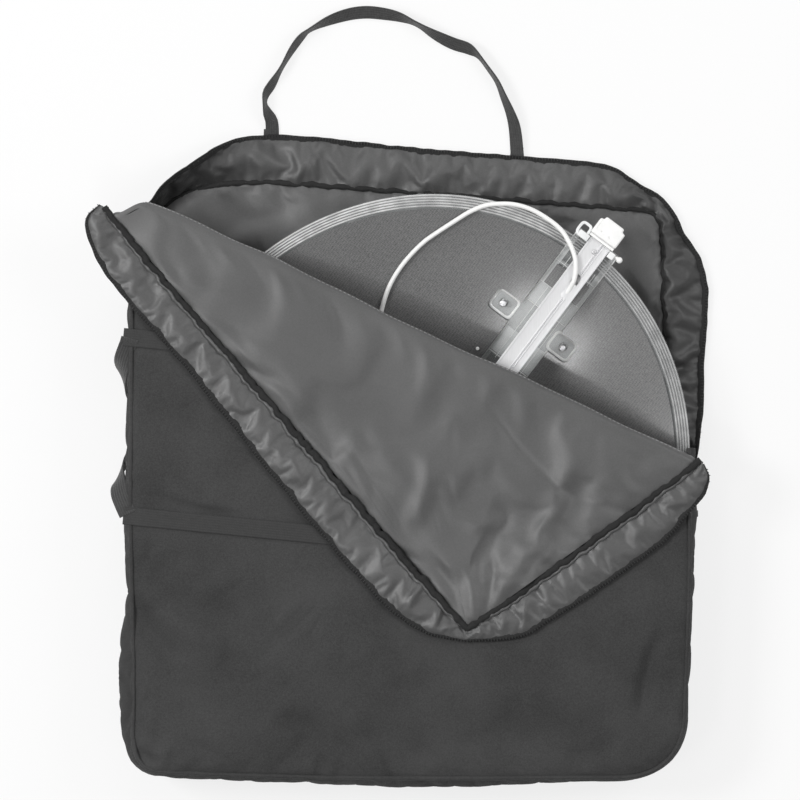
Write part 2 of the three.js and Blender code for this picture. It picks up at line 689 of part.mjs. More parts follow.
const bracketLength = alongBracket(BRACKET_END) - alongBracket(BRACKET_START);
const bracketMiddle = (alongBracket(BRACKET_END) + alongBracket(BRACKET_START)) / 2;
const tabMiddle = alongBracket(TAB_PLACE);
const windowWidth = 2 * (BRACKET_HALF_WIDTH - RAIL_WIDTH);
const windows = [];
const windowCount = Math.floor(bracketLength / RIB_STEP);
for (let i = 0; i < windowCount; i += 1) {
  const y = bracketMiddle + (i - (windowCount - 1) / 2) * RIB_STEP;
  const deep = RIB_STEP - RAIL_WIDTH;
  windows.push(box(windowWidth, deep, 3 * BRACKET_THICK, 0, y, -BRACKET_THICK / 2));
}
const tabOuter = TAB_REACH + TAB_SIZE / 2;
const tabInner = BRACKET_HALF_WIDTH - RAIL_WIDTH / 2;
const tabs = [-1, 1].map((side) => roundedPlate(
  tabOuter - tabInner, TAB_SIZE, TAB_CORNER / 2, (side * (tabOuter + tabInner)) / 2, tabMiddle,
  BRACKET_THICK, -BRACKET_THICK,
));
const screwHoles = [-1, 1].map((side) => bar(
  SCREW_RADIUS + SCREW_CLEAR, 6 * BRACKET_THICK, side * TAB_REACH, tabMiddle, -3 * BRACKET_THICK,
));
const frameBlank = roundedPlate(
  2 * BRACKET_HALF_WIDTH, bracketLength, TAB_CORNER, 0, bracketMiddle, BRACKET_THICK, -BRACKET_THICK,
);
const bracketFrame = without(joined(frameBlank, ...tabs), ...windows, ...screwHoles);
piece('bracket', bracketFrame, clearPlastic, bracket);

const reflectorHoles = screwHoles.map((hole) => hole.clone().applyMatrix4(bracket.matrix));
piece('reflector', without(reflectorBlank, ...reflectorHoles), clearPlastic, dish);

// the wire mesh keeps clear of the screw heads
const headHoles = [-1, 1].map((side) => bar(
  SCREW_HEAD_RADIUS + 2 * SCREW_CLEAR, 8 * BRACKET_THICK, side * TAB_REACH, tabMiddle, -BRACKET_THICK,
).applyMatrix4(bracket.matrix));
piece('wire_mesh', without(meshBlank, ...headHoles), meshWire, dish);

// the dish curves away from the flat bracket towards the tabs
const bowlOverTab = DISH_DEPTH * (TAB_REACH / DISH_HALF_WIDTH) ** 2
  + DISH_DEPTH * ((BRACKET_TOUCH - TAB_PLACE) / halfLength) ** 2;
const screwSeat = BRACKET_DROP + bowlOverTab + DISH_THICK + SEAT_GAP;
for (const [side, where] of [[-1, 'left'], [1, 'right']]) {
  const shankFoot = -BRACKET_THICK - NUT_HEIGHT - SHANK_PAST_NUT;
  const shank = bar(SCREW_RADIUS, screwSeat - shankFoot + 0.5, side * TAB_REACH, tabMiddle, shankFoot, 14);
  const head = bar(SCREW_HEAD_RADIUS, SCREW_HEAD_HEIGHT, side * TAB_REACH, tabMiddle, screwSeat);
  const slotDepth = SCREW_HEAD_HEIGHT / 2;
  const cross = [0, Math.PI / 2].map((turn) => closed(
    new THREE.BoxGeometry(CROSS_LENGTH, CROSS_WIDTH, 2 * slotDepth).rotateZ(turn)
      .translate(side * TAB_REACH, tabMiddle, screwSeat + SCREW_HEAD_HEIGHT),
  ));
  piece(`tab_screw_${where}`, without(joined(shank, head), ...cross), steel, bracket);
  const nutFoot = -BRACKET_THICK - TOUCH_GAP - NUT_HEIGHT;
  const nut = bar(NUT_RADIUS, NUT_HEIGHT, side * TAB_REACH, tabMiddle, nutFoot, 6);
  const boreRadius = SCREW_RADIUS + TOUCH_GAP;
  const bore = bar(boreRadius, 3 * NUT_HEIGHT, side * TAB_REACH, tabMiddle, nutFoot - NUT_HEIGHT, 14);
  piece(`tab_nut_${where}`, without(nut, bore), steel, bracket);
}

// ---- cradle that guides the arm over the rim --------------------------------------------

const cradleMiddle = DISH_HALF_LENGTH + CRADLE_OUT + CRADLE_LENGTH / 2;
const cradleWidth = CRADLE_LEFT_REACH + CRADLE_RIGHT_REACH;
const cradleSide = ARM_SIDE + (CRADLE_RIGHT_REACH - CRADLE_LEFT_REACH) / 2;
const cradleBlank = box(
  cradleWidth, CRADLE_LENGTH, CRADLE_BLANK, cradleSide, cradleMiddle, CRADLE_HEIGHT - CRADLE_BLANK / 2,
);
// the eye stands on the left, past the feed head
const ringLeft = ARM_SIDE - CRADLE_LEFT_REACH;
const ringRight = ARM_SIDE - HEAD_WIDTH / 2 - SLIDE_GAP;
const ringMiddle = (ringLeft + ringRight) / 2;
const ringForward = cradleMiddle + EYE_RING_OUT / 2;
const eyeRing = box(
  ringRight - ringLeft, CRADLE_LENGTH + EYE_RING_OUT, EYE_RING_HEIGHT,
  ringMiddle, ringForward, CRADLE_HEIGHT - EYE_RING_HEIGHT / 2,
);
const eye = box(CRADLE_EYE, CRADLE_LENGTH, 2 * CRADLE_BLANK, ringMiddle, ringForward, CRADLE_HEIGHT);
const armPassage = box(
  ARM_WIDTH + 2 * SLIDE_GAP, 3 * CRADLE_LENGTH, 2 * CRADLE_BLANK,
  ARM_SIDE, cradleMiddle, armBottom - SLIDE_GAP + CRADLE_BLANK,
);
const bracketReach = 2 * BRACKET_END;
const underBracket = box(bracketReach, bracketReach, bracketReach, 0, 0, TOUCH_GAP - bracketReach / 2)
  .applyMatrix4(bracket.matrix);
const cradle = without(joined(cradleBlank, eyeRing), armPassage, underBracket, eye);
piece('arm_cradle', cradle, clearPlastic, dish);

const knobHeight = CRADLE_HEIGHT - KNOB_RADIUS;
const knobForward = cradleMiddle + KNOB_FORWARD;
const knobSide = ARM_SIDE + CRADLE_RIGHT_REACH + KNOB_RADIUS + KNOB_OUT;
const knobBall = closed(new THREE.SphereGeometry(KNOB_RADIUS, 14, 10))
  .translate(knobSide, knobForward, knobHeight);
const stemSide = ARM_SIDE + CRADLE_RIGHT_REACH + TOUCH_GAP + KNOB_STEM_LENGTH / 2;
const stem = new THREE.CylinderGeometry(KNOB_STEM_RADIUS, KNOB_STEM_RADIUS, KNOB_STEM_LENGTH, 10);
const knobStem = closed(stem.rotateZ(Math.PI / 2)).translate(stemSide, knobForward, knobHeight);
piece('cradle_knob', joined(knobBall, knobStem), whitePlastic, dish);

// ---- arm that slides out, and its feed head ---------------------------------------------

const armShape = new THREE.Shape();
const grooveLeft = GROOVE_SIDE - GROOVE_WIDTH / 2;
armShape.moveTo(-ARM_WIDTH / 2, 0);
armShape.lineTo(ARM_WIDTH / 2, 0);
armShape.lineTo(ARM_WIDTH / 2, ARM_HEIGHT);
armShape.lineTo(grooveLeft + GROOVE_WIDTH, ARM_HEIGHT);
armShape.lineTo(grooveLeft + GROOVE_WIDTH, ARM_HEIGHT - GROOVE_DEPTH);
armShape.lineTo(grooveLeft, ARM_HEIGHT - GROOVE_DEPTH);
armShape.lineTo(grooveLeft, ARM_HEIGHT);
armShape.lineTo(-ARM_WIDTH / 2, ARM_HEIGHT);
armShape.closePath();
const armHollow = new THREE.Path();
armHollow.moveTo(-ARM_WIDTH / 2 + ARM_WALL, ARM_WALL);
armHollow.lineTo(-ARM_WIDTH / 2 + ARM_WALL, ARM_HEIGHT - ARM_WALL);
armHollow.lineTo(ARM_WIDTH / 2 - ARM_WALL, ARM_HEIGHT - ARM_WALL);
armHollow.lineTo(ARM_WIDTH / 2 - ARM_WALL, ARM_WALL);
armHollow.closePath();
armShape.holes.push(armHollow);

const armLength = ARM_OUTER_END - ARM_INNER_END;
const armBlank = closed(
  new THREE.ExtrudeGeometry(armShape, { depth: armLength, bevelEnabled: false })
    .rotateX(Math.PI / 2).translate(ARM_SIDE, ARM_OUTER_END, armBottom),
);
const slotSide = ARM_SIDE + CABLE_SLOT_SIDE;
const cableSlot = roundedPlate(
  CABLE_SLOT_WIDTH, CABLE_SLOT_LENGTH, CABLE_SLOT_WIDTH / 2 - 0.01, slotSide, CABLE_SLOT_PLACE,
  2 * ARM_WALL, armTop - 1.5 * ARM_WALL,
);
const buttonHole = bar(
  BUTTON_RADIUS + TOUCH_GAP, 2 * ARM_WALL, ARM_SIDE, BUTTON_PLACE, armTop - 1.5 * ARM_WALL,
);
piece('arm', without(armBlank, cableSlot, buttonHole), aluminium, dish);

const buttonFoot = armBottom + ARM_WALL + TOUCH_GAP;
piece(
  'snap_button',
  bar(BUTTON_RADIUS, armTop + BUTTON_RISE - buttonFoot, ARM_SIDE, BUTTON_PLACE, buttonFoot),
  steel, dish,
);
const plugMiddle = ARM_INNER_END - TOUCH_GAP - PLUG_LENGTH / 2;
const armPlug = box(ARM_WIDTH, PLUG_LENGTH, ARM_HEIGHT, ARM_SIDE, plugMiddle, armBottom + ARM_HEIGHT / 2);
piece('arm_plug', armPlug, whitePlastic, dish);
const collarStart = ARM_OUTER_END + TOUCH_GAP;
const collar = box(
  COLLAR_WIDTH, COLLAR_LENGTH, COLLAR_HEIGHT,
  ARM_SIDE, collarStart + COLLAR_LENGTH / 2, armBottom + COLLAR_HEIGHT / 2,
);
piece('arm_collar', collar, whitePlastic, dish);

// rounded block whose lower edge turns on the collar
const headStart = collarStart + COLLAR_LENGTH + TOUCH_GAP;
const headShape = new THREE.Shape();
const headHalf = HEAD_WIDTH / 2 - HEAD_EDGE;
headShape.moveTo(-headHalf, HEAD_EDGE);
headShape.lineTo(headHalf, HEAD_EDGE);
headShape.lineTo(headHalf, HEAD_LENGTH - 3 * HEAD_EDGE);
headShape.lineTo(headHalf - 2 * HEAD_EDGE, HEAD_LENGTH - HEAD_EDGE);
headShape.lineTo(-headHalf + 2 * HEAD_EDGE, HEAD_LENGTH - HEAD_EDGE);
headShape.lineTo(-headHalf, HEAD_LENGTH - 3 * HEAD_EDGE);
headShape.closePath();
const headBlock = closed(new THREE.ExtrudeGeometry(headShape, {
  depth: HEAD_HEIGHT - 2 * HEAD_EDGE, bevelThickness: HEAD_EDGE, bevelSize: HEAD_EDGE, bevelSegments: 3,
}).translate(ARM_SIDE, headStart, armBottom + HEAD_EDGE));
piece('feed_head', headBlock, whitePlastic, dish);

// ---- coaxial cable ----------------------------------------------------------------------

const routeStretch = DISH_HALF_LENGTH / ROUTE_HALF_LENGTH;
const cablePath = new THREE.CatmullRomCurve3(
  CABLE_ROUTE.map(([across, along, z]) => new THREE.Vector3(across, along * routeStretch, z)),
);
const cableSection = new THREE.Shape();
for (let i = 0; i < CABLE_SIDES; i += 1) {
  const turn = (i / CABLE_SIDES) * 2 * Math.PI;
  const [x, y] = [CABLE_RADIUS * Math.cos(turn), CABLE_RADIUS * Math.sin(turn)];
  if (i === 0) cableSection.moveTo(x, y);
  else cableSection.lineTo(x, y);
}
cableSection.closePath();
piece('coax_cable', closed(new THREE.ExtrudeGeometry(cableSection, {
  steps: CABLE_STEPS, extrudePath: cablePath, bevelEnabled: false,
})), cableSheath, dish);

// screw-on connector in line with the cable's end
const connectorProfile = [
  [0, 0], [CONNECTOR_SLEEVE_RADIUS, 0], [CONNECTOR_SLEEVE_RADIUS, CONNECTOR_SLEEVE_END],
  [CONNECTOR_NUT_RADIUS, CONNECTOR_SLEEVE_END], [CONNECTOR_NUT_RADIUS, CONNECTOR_NUT_END],
  [CONNECTOR_RADIUS, CONNECTOR_NUT_END], [CONNECTOR_RADIUS, 1], [0, 1],
].map(([radius, share]) => new THREE.Vector2(radius, share * CONNECTOR_LENGTH));
const cableEnd = cablePath.getPointAt(1);
const cableHeading = cablePath.getTangentAt(1);
const connectorBody = closed(new THREE.LatheGeometry(connectorProfile, 12));
const connector = piece('coax_connector', connectorBody, steel, dish);
connector.quaternion.setFromUnitVectors(new THREE.Vector3(0, 1, 0), cableHeading);
connector.position.copy(cableEnd).addScaledVector(cableHeading, TOUCH_GAP);

// ---- carry handles ----------------------------------------------------------------------

// flat band of a given width along a line of points on the floor
function band(points, width, thick, z) {
  const line = new THREE.SplineCurve(points.map(([x, y]) => new THREE.Vector2(x, y)));
  const steps = 4 * points.length;
  return sheet((s, t, w) => {
    const here = line.getPointAt(s);
    const ahead = line.getTangentAt(s);
    const side = (t - 0.5) * width;
    return [here.x - ahead.y * side, here.y + ahead.x * side, z + w * thick];
  }, steps, 1);
}

const tapeEdge = OPEN_WIDTH + TAPE_WIDTH + TOUCH_GAP;
const [footLeft, footRight] = HANDLE_FEET.map((x) => {
  return stationNear(x, BACK_ABOVE - (x + BACK_HALF_WIDTH) * topSlope);
});
const handleFootZ = TOUCH_GAP;
const handleOut = tapeEdge + HANDLE_OUT + HANDLE_HEM;
const handleStart = [0, HANDLE_LEAD].map((more) => seamPoint(footLeft, handleOut + more));
const handleEnd = [HANDLE_LEAD, 0].map((more) => seamPoint(footRight, handleOut + more));
const handleLoop = HANDLE_BAND.map(([x, above]) => [x, BACK_ABOVE + above]);
const handleLine = [...handleStart, ...handleLoop, ...handleEnd];
piece('top_handle', band(handleLine, HANDLE_PLAN_WIDTH, HANDLE_THICK, handleFootZ), webbing);
const tabThick = OPEN_RISE - WALL_THICK - 3 * TOUCH_GAP;
for (const [where, station] of [['left', footLeft], ['right', footRight]]) {
  const inside = seamPoint(station, tapeEdge - TAB_INSIDE);
  const outside = seamPoint(station, tapeEdge + HANDLE_OUT - HANDLE_HEM);
  piece(`handle_tab_${where}`, band([inside, outside], HANDLE_PLAN_WIDTH, tabThick, handleFootZ), webbing);
}

// loop that hangs down outside the left wall
const widestWall = BACK_HALF_WIDTH + wallOut(frontTop / 2) + WALL_THICK;
const loopThick = 1.5 * WEB_THICK;
const loopInside = -widestWall - SIDE_STAND_OFF;
const loopTop = SIDE_LEG_UPPER + WEB_WIDTH / 2;
const loopBottom = SIDE_LEG_LOWER - WEB_WIDTH / 2;
const loopShape = new THREE.Shape();
loopShape.moveTo(loopBottom, 0);
loopShape.lineTo(loopBottom, -SIDE_DROP + SIDE_CORNER);
loopShape.absarc(loopBottom + SIDE_CORNER, -SIDE_DROP + SIDE_CORNER, SIDE_CORNER, Math.PI, 1.5 * Math.PI);
loopShape.absarc(loopTop - SIDE_CORNER, -SIDE_DROP + SIDE_CORNER, SIDE_CORNER, 1.5 * Math.PI, 2 * Math.PI);
loopShape.lineTo(loopTop, 0);
loopShape.lineTo(loopTop - WEB_WIDTH, 0);
loopShape.lineTo(loopTop - WEB_WIDTH, -SIDE_DROP + WEB_WIDTH);
loopShape.lineTo(loopBottom + WEB_WIDTH, -SIDE_DROP + WEB_WIDTH);
loopShape.lineTo(loopBottom + WEB_WIDTH, 0);
loopShape.closePath();
const sideLoop = plate(loopShape, loopThick, 0, 5);
sideLoop.applyMatrix4(new THREE.Matrix4().makeBasis(
  new THREE.Vector3(0, 1, 0), new THREE.Vector3(0, 0, 1), new THREE.Vector3(1, 0, 0),
));
piece('side_handle', sideLoop.translate(loopInside - loopThick, 0, frontTop), webbing);

for (const [where, y] of [['upper', SIDE_LEG_UPPER], ['lower', SIDE_LEG_LOWER]]) {
  const strip = new THREE.BoxGeometry(SIDE_LEG_LENGTH, WEB_WIDTH, WEB_THICK);
  strip.translate(SIDE_LEG_LENGTH / 2, 0, 0).rotateZ(degrees(SIDE_LEG_TURN));
  strip.translate(loopInside + HANDLE_HEM, y, frontTop + TOUCH_GAP + WEB_THICK / 2);
  piece(`side_handle_leg_${where}`, closed(strip), webbing);
}

// ---- zip sliders ------------------------------------------------------------------------

function zipSlider(where, side, y) {
  const station = stationNear(side * BACK_HALF_WIDTH, y);
  const [x] = seamPoint(station, wallOut(zipMiddle) + WALL_THICK);
  const inner = Math.abs(x) + SLIDER_OFF;
  const middle = side * (inner + SLIDER_DEPTH / 2);
  const body = box(SLIDER_DEPTH, SLIDER_LENGTH, SLIDER_WIDTH, middle, y, zipMiddle);
  piece(`zip_slider_${where}`, body, zipMetal);
  // the tab can lift to point straight out without touching the slider
  const tabTop = zipMiddle - SLIDER_WIDTH / 2 - PULL_THICK / 2 - TOUCH_GAP;
  const tab = box(PULL_THICK, PULL_WIDTH, PULL_LENGTH, middle, y, tabTop - PULL_LENGTH / 2);
  const holeMiddle = tabTop - PULL_LENGTH + PULL_HOLE_UP;
  const hole = box(2 * SLIDER_DEPTH, PULL_HOLE_WIDTH, PULL_HOLE_LENGTH, middle, y, holeMiddle);
  piece(`zip_pull_${where}`, without(tab, hole), zipMetal);
}
zipSlider('right', 1, RIGHT_SLIDER_PLACE);
zipSlider('left', -1, LEFT_SLIDER_PLACE);

export default part;
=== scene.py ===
import math
import random

import bmesh
import bpy
import numpy as np
from mathutils import Matrix, Vector


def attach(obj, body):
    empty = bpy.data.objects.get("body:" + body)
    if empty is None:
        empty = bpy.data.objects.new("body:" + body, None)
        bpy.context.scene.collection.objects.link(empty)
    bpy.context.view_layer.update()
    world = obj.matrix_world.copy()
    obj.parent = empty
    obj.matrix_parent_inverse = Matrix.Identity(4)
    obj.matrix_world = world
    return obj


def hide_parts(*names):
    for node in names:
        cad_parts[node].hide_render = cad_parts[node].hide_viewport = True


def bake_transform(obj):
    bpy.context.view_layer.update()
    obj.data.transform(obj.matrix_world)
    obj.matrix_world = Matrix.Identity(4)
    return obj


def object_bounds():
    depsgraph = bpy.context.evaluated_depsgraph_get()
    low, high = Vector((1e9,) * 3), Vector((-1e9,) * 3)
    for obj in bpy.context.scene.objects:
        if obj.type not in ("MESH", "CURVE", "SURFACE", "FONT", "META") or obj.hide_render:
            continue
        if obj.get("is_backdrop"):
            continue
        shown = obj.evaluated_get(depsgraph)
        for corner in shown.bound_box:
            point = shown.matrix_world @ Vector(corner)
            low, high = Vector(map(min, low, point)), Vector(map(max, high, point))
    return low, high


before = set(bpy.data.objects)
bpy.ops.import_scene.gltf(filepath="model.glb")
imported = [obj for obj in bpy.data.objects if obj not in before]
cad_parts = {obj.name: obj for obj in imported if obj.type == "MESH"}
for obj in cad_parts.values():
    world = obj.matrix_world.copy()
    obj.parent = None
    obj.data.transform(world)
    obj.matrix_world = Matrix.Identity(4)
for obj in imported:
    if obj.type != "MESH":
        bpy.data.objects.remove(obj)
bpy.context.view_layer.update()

# Lengths are in millimetres. MM turns them into metres.
MM = 0.001
UPRIGHT = (0.0, 0.0, 1.0)
DISH_MIDDLE = (6, -14)
DISH_TURN = math.radians(-36.87)
DISH_HALF_LENGTH = 394.0
DISH_HALF_WIDTH = 371.0
STRETCH = DISH_HALF_LENGTH / DISH_HALF_WIDTH
DISH_DEPTH = 76.0
DISH_FLOOR = 10.5
FLANGE_START = 0.955
RIM_RIBS = 5
TOUCH_SHARE = 0.71
FRONT_TOP = 120.7
FRONT_BINDING_HEIGHT = 117.4
OPEN_WALL_HEIGHT = 8.6
OPEN_TEETH_HEIGHT = 9.6
ZIP_MIDDLE = 60.4
ZIP_HALF_GAP = 3.2
PULL_PIVOT = 55.0
FOLD_CORNER = (-434.0, 356.0)
FOLD_TURN = math.radians(-22.94)
FOLD_HEIGHT = 122.3
ARM_SIDE = 13.5
ARM_FOOT = 88.0
ARM_TOP = 103.0
WEBBING_WIDTH = 25.0
STRAP_LENGTH = 300
STRAP_LEVELS = {"upper": 172, "lower": -77}
WAVES = 5
CLOTH_FRAMES = 22
CLOTH_SEED = 1
# A wave texture at scale 1 repeats every 0.314 metres.
WAVE_UNIT = 0.314

dish_place = Matrix.Translation((*DISH_MIDDLE, 0)) @ Matrix.Rotation(DISH_TURN, 4, "Z")
touch_reach = TOUCH_SHARE * DISH_HALF_LENGTH
touch_height = DISH_FLOOR + DISH_DEPTH * TOUCH_SHARE ** 2
touch_slope = math.atan(2 * DISH_DEPTH * TOUCH_SHARE / DISH_HALF_LENGTH)
bracket_place = (
    dish_place
    @ Matrix.Translation((7, touch_reach, touch_height - 2))
    @ Matrix.Rotation(touch_slope, 4, "X")
)


# ---- camera ----

camera = bpy.data.objects.new("camera", bpy.data.cameras.new("camera"))
bpy.context.scene.collection.objects.link(camera)
camera.location = (-0.0196, 0.084, 14.0)
camera.data.lens = 448.0
camera.data.sensor_width = 36.0
camera.data.clip_end = 60.0
bpy.context.scene.camera = camera


# ---- small tools ----

def linked(name, data):
    obj = bpy.data.objects.new(name, data)
    bpy.context.scene.collection.objects.link(obj)
    return obj


def clear_choice():
    if bpy.context.mode != "OBJECT":
        bpy.ops.object.mode_set(mode="OBJECT")
    bpy.ops.object.select_all(action="DESELECT")


def choose(obj):
    clear_choice()
    obj.select_set(True)
    bpy.context.view_layer.objects.active = obj


def start_editing(obj):
    choose(obj)
    bpy.ops.object.mode_set(mode="EDIT")
    bpy.ops.mesh.select_all(action="SELECT")


def done_editing():
    bpy.ops.object.mode_set(mode="OBJECT")


def settle(obj, name, place):
    """Puts the object's place into its mesh, from millimetres to metres."""
    obj.data.transform(place)
    obj.data.transform(Matrix.Scale(MM, 4))
    obj.matrix_world = Matrix.Identity(4)
    obj.name = obj.data.name = name


def apply_modifiers(obj):
    choose(obj)
    for m in list(obj.modifiers):
        bpy.ops.object.modifier_apply(modifier=m.name)


def smooth(obj, angle):
    choose(obj)
    bpy.ops.object.shade_smooth_by_angle(angle=math.radians(angle))


def bevel(obj, width, segments, angle=30):
    m = obj.modifiers.new("bevel", "BEVEL")
    m.width = width
    m.segments = segments
    m.limit_method = "ANGLE"
    m.angle_limit = math.radians(angle)
    m.harden_normals = False
    apply_modifiers(obj)


def cut(obj, *tools, how="DIFFERENCE"):
    for tool in tools:
        m = obj.modifiers.new("cut", "BOOLEAN")
        m.operation = how
        m.object = tool
        m.solver = "EXACT"
        choose(obj)
        bpy.ops.object.modifier_apply(modifier=m.name)
        bpy.data.objects.remove(tool)


def block(wide, deep, high, at=(0, 0, 0)):
    clear_choice()
    bpy.ops.mesh.primitive_cube_add(size=1, location=(0, 0, 0))
    obj = bpy.context.object
    obj.data.transform(Matrix.Translation(at) @ Matrix.Diagonal((wide, deep, high, 1)))
    return obj


def round_bar(radius, height, at, sides, turn=None):
    clear_choice()
    bpy.ops.mesh.primitive_cylinder_add(radius=radius, depth=height, vertices=sides, location=(0, 0, 0))
    obj = bpy.context.object
    if turn is not None:
        obj.data.transform(turn)
    obj.data.transform(Matrix.Translation(at))
    return obj


def inset_faces(obj, wanted, amount, lift=0.0):
    """Draws in the faces whose normals are wanted, then lifts what is left of them."""
    start_editing(obj)
    bpy.ops.mesh.select_mode(type="FACE")
    bpy.ops.mesh.select_all(action="DESELECT")
    bm = bmesh.from_edit_mesh(obj.data)
    for f in bm.faces:
        f.select_set(wanted(f.normal))
    bmesh.update_edit_mesh(obj.data)
    bpy.ops.mesh.inset(thickness=amount)
    bpy.ops.transform.translate(value=(0, 0, lift))
    done_editing()


def tidy_normals(obj):
    start_editing(obj)
    bpy.ops.mesh.remove_doubles(threshold=0.0001)
    bpy.ops.mesh.normals_make_consistent(inside=False)
    done_editing()


def turned(name, profile, steps):
    """A closed outline of (radius, height) points, spun and then stretched to the dish's oval."""
    n = len(profile)
    mesh = bpy.data.meshes.new(name)
    mesh.from_pydata([(r, 0, z) for r, z in profile], [(i, (i + 1) % n) for i in range(n)], [])
    obj = linked(name, mesh)
    start_editing(obj)
    bpy.ops.mesh.spin(steps=steps, angle=2 * math.pi, center=(0, 0, 0), axis=UPRIGHT)
    done_editing()
    tidy_normals(obj)
    obj.data.transform(Matrix.Diagonal((1, STRETCH, 1, 1)))
    return obj


def prism(name, low, high):
    """A solid between two outlines of as many points."""
    n = len(low)
    sides = [(i, (i + 1) % n, n + (i + 1) % n, n + i) for i in range(n)]
    mesh = bpy.data.meshes.new(name)
    mesh.from_pydata([*low, *high], [], sides + [tuple(range(n))[::-1], tuple(range(n, 2 * n))])
    obj = linked(name, mesh)
    tidy_normals(obj)
    return obj


def values(rows, key, width, kind=np.float32):
    """One property of all rows of a mesh, such as its points, as an array."""
    flat = np.zeros(len(rows) * width, kind)
    rows.foreach_get(key, flat)
    return flat.reshape(-1, width)


def loft(name, along, across, place, size=(1.0, 1.0), closed=False):
    """A grid laid out by place(s, t), with a UV map in metres."""
    clear_choice()
    bpy.ops.mesh.primitive_grid_add(x_subdivisions=along, y_subdivisions=across, size=1, calc_uvs=True)
    obj = bpy.context.object
    obj.name = obj.data.name = name
    mesh = obj.data
    co = values(mesh.vertices, "co", 3).astype(float)
    xyz = np.stack(place(co[:, 0] + 0.5, co[:, 1] + 0.5), 1)
    mesh.vertices.foreach_set("co", (xyz * MM).astype(np.float32).ravel())
    layer = mesh.uv_layers.active.data
    uv = values(layer, "uv", 2) * np.array(size, np.float32) * MM
    layer.foreach_set("uv", uv.ravel())
    mesh.update()
    if closed:
        start_editing(obj)
        bpy.ops.mesh.remove_doubles(threshold=0.00005)
        done_editing()
    return obj


def add_wall(obj, thickness, offset):
    m = obj.modifiers.new("wall", "SOLIDIFY")
    m.thickness = thickness * MM
    m.offset = offset
    return m


def thicken(obj, amount, lined=False):
    """Gives a sheet its thickness behind its faces, with a second material there if it is lined."""
    slot = 1 if lined else 0
    while len(obj.data.materials) < slot + 1:
        obj.data.materials.append(None)
    m = add_wall(obj, amount, -1)
    m.use_even_offset = False
    m.material_offset = slot
    m.material_offset_rim = slot
    apply_modifiers(obj)


def new_curve(name, radius, sides):
    curve = bpy.data.curves.new(name, "CURVE")
    curve.dimensions = "3D"
    curve.bevel_depth = radius * MM
    curve.bevel_resolution = sides
    curve.use_fill_caps = True
    return curve


def curve_mesh(name, curve):
    choose(linked(name, curve))
    bpy.ops.object.convert(target="MESH")
    obj = bpy.context.object
    obj.name = obj.data.name = name
    smooth(obj, 60)
    return obj


def tube(name, points, radius, sides, closed=False, radii=None):
    """A cord along points, with a flat end at each side."""
    curve = new_curve(name, radius, sides)
    line = curve.splines.new("POLY")
    line.points.add(len(points) - 1)
    for i, (x, y, z) in enumerate(points):
        line.points[i].co = (x * MM, y * MM, z * MM, 1)
        if radii is not None:
            line.points[i].radius = radii[i]
    line.use_cyclic_u = closed
    return curve_mesh(name, curve)


def ease(v, low, high):
    t = np.clip((v - low) / (high - low), 0, 1)
    return t * t * (3 - 2 * t)


def near_ends(share, reach):
    """1 at both ends of a run from 0 to 1, and 0 further in than reach."""
    return 1 - ease(np.minimum(share, 1 - share), 0.0, reach)


def between(start, end, share):
    return start + (end - start) * share


def run_of(line):
    """How far along a line each of its points lies."""
    return np.concatenate([[0], np.cumsum(np.linalg.norm(np.diff(line, axis=0), axis=1))])


def points_at(at, far, line):
    """Points of a line, where far is its run, at these distances along it."""
    return np.stack([np.interp(at, far, line[:, k]) for k in range(line.shape[1])], 1)


def unit(rows):
    return rows / np.linalg.norm(rows, axis=1)[:, None]


def settle_cloth(obj, hold, grow, bend, cap, jitter, press=0.0, even=0):
    """Lets a sheet that is held at its seams take up the cloth that it was cut too large by."""
    mesh = obj.data
    count = len(mesh.vertices)
    rest = values(mesh.vertices, "co", 3)
    first, second = values(mesh.edges, "vertices", 2, np.int32).T
    reach = np.linalg.norm(rest[first] - rest[second], axis=1)
    cell = np.full(count, 1.0)
    np.minimum.at(cell, first, reach)
    np.minimum.at(cell, second, reach)
    cell /= MM
    hold = np.maximum(hold, 1 - cell / 1.8)
    work = obj.copy()
    work.data = mesh.copy()
    bpy.context.scene.collection.objects.link(work)
    noise = np.random.default_rng(CLOTH_SEED).normal(0, jitter * MM, rest.shape)
    noise *= ((1 - hold) * np.clip(cell / 2.5, 0, 1))[:, None]
    work.data.vertices.foreach_set("co", (rest + noise).astype(np.float32).ravel())
    held = work.vertex_groups.new(name="held")
    for i, w in enumerate(hold):
        if w > 0.001:
            held.add([i], float(w), "REPLACE")
    cloth = work.modifiers.new("cloth", "CLOTH")
    rules = cloth.settings
    rules.quality = 5
    rules.mass = 0.25
    rules.tension_stiffness = rules.compression_stiffness = 18
    rules.shear_stiffness = 6
    rules.bending_stiffness = bend
    rules.air_damping = 2
    rules.vertex_group_mass = "held"
    rules.pin_stiffness = 1.0
    rules.shrink_min = -grow
    rules.use_pressure = press > 0
    rules.uniform_pressure_force = press
    rules.effector_weights.gravity = 0
    cloth.collision_settings.use_collision = False
    cloth.collision_settings.use_self_collision = False
    cloth.point_cache.frame_start = 1
    cloth.point_cache.frame_end = CLOTH_FRAMES
    for f in range(1, CLOTH_FRAMES + 1):
        bpy.context.scene.frame_set(f)
    ready = work.evaluated_get(bpy.context.evaluated_depsgraph_get())
    moved = values(ready.data.vertices, "co", 3) - rest
    for _ in range(even):
        total = moved * 2
        shares = np.full(count, 2.0)
        for here, there in ((first, second), (second, first)):
            np.add.at(total, here, moved[there])
            np.add.at(shares, here, 1.0)
        moved = total / shares[:, None]
    far = np.linalg.norm(moved, axis=1)
    moved *= (1 / np.sqrt(1 + (far / (cap * MM)) ** 2))[:, None]
    mesh.vertices.foreach_set("co", (rest + moved).astype(np.float32).ravel())
    mesh.update()
    bpy.data.objects.remove(work)
    bpy.context.scene.frame_set(1)


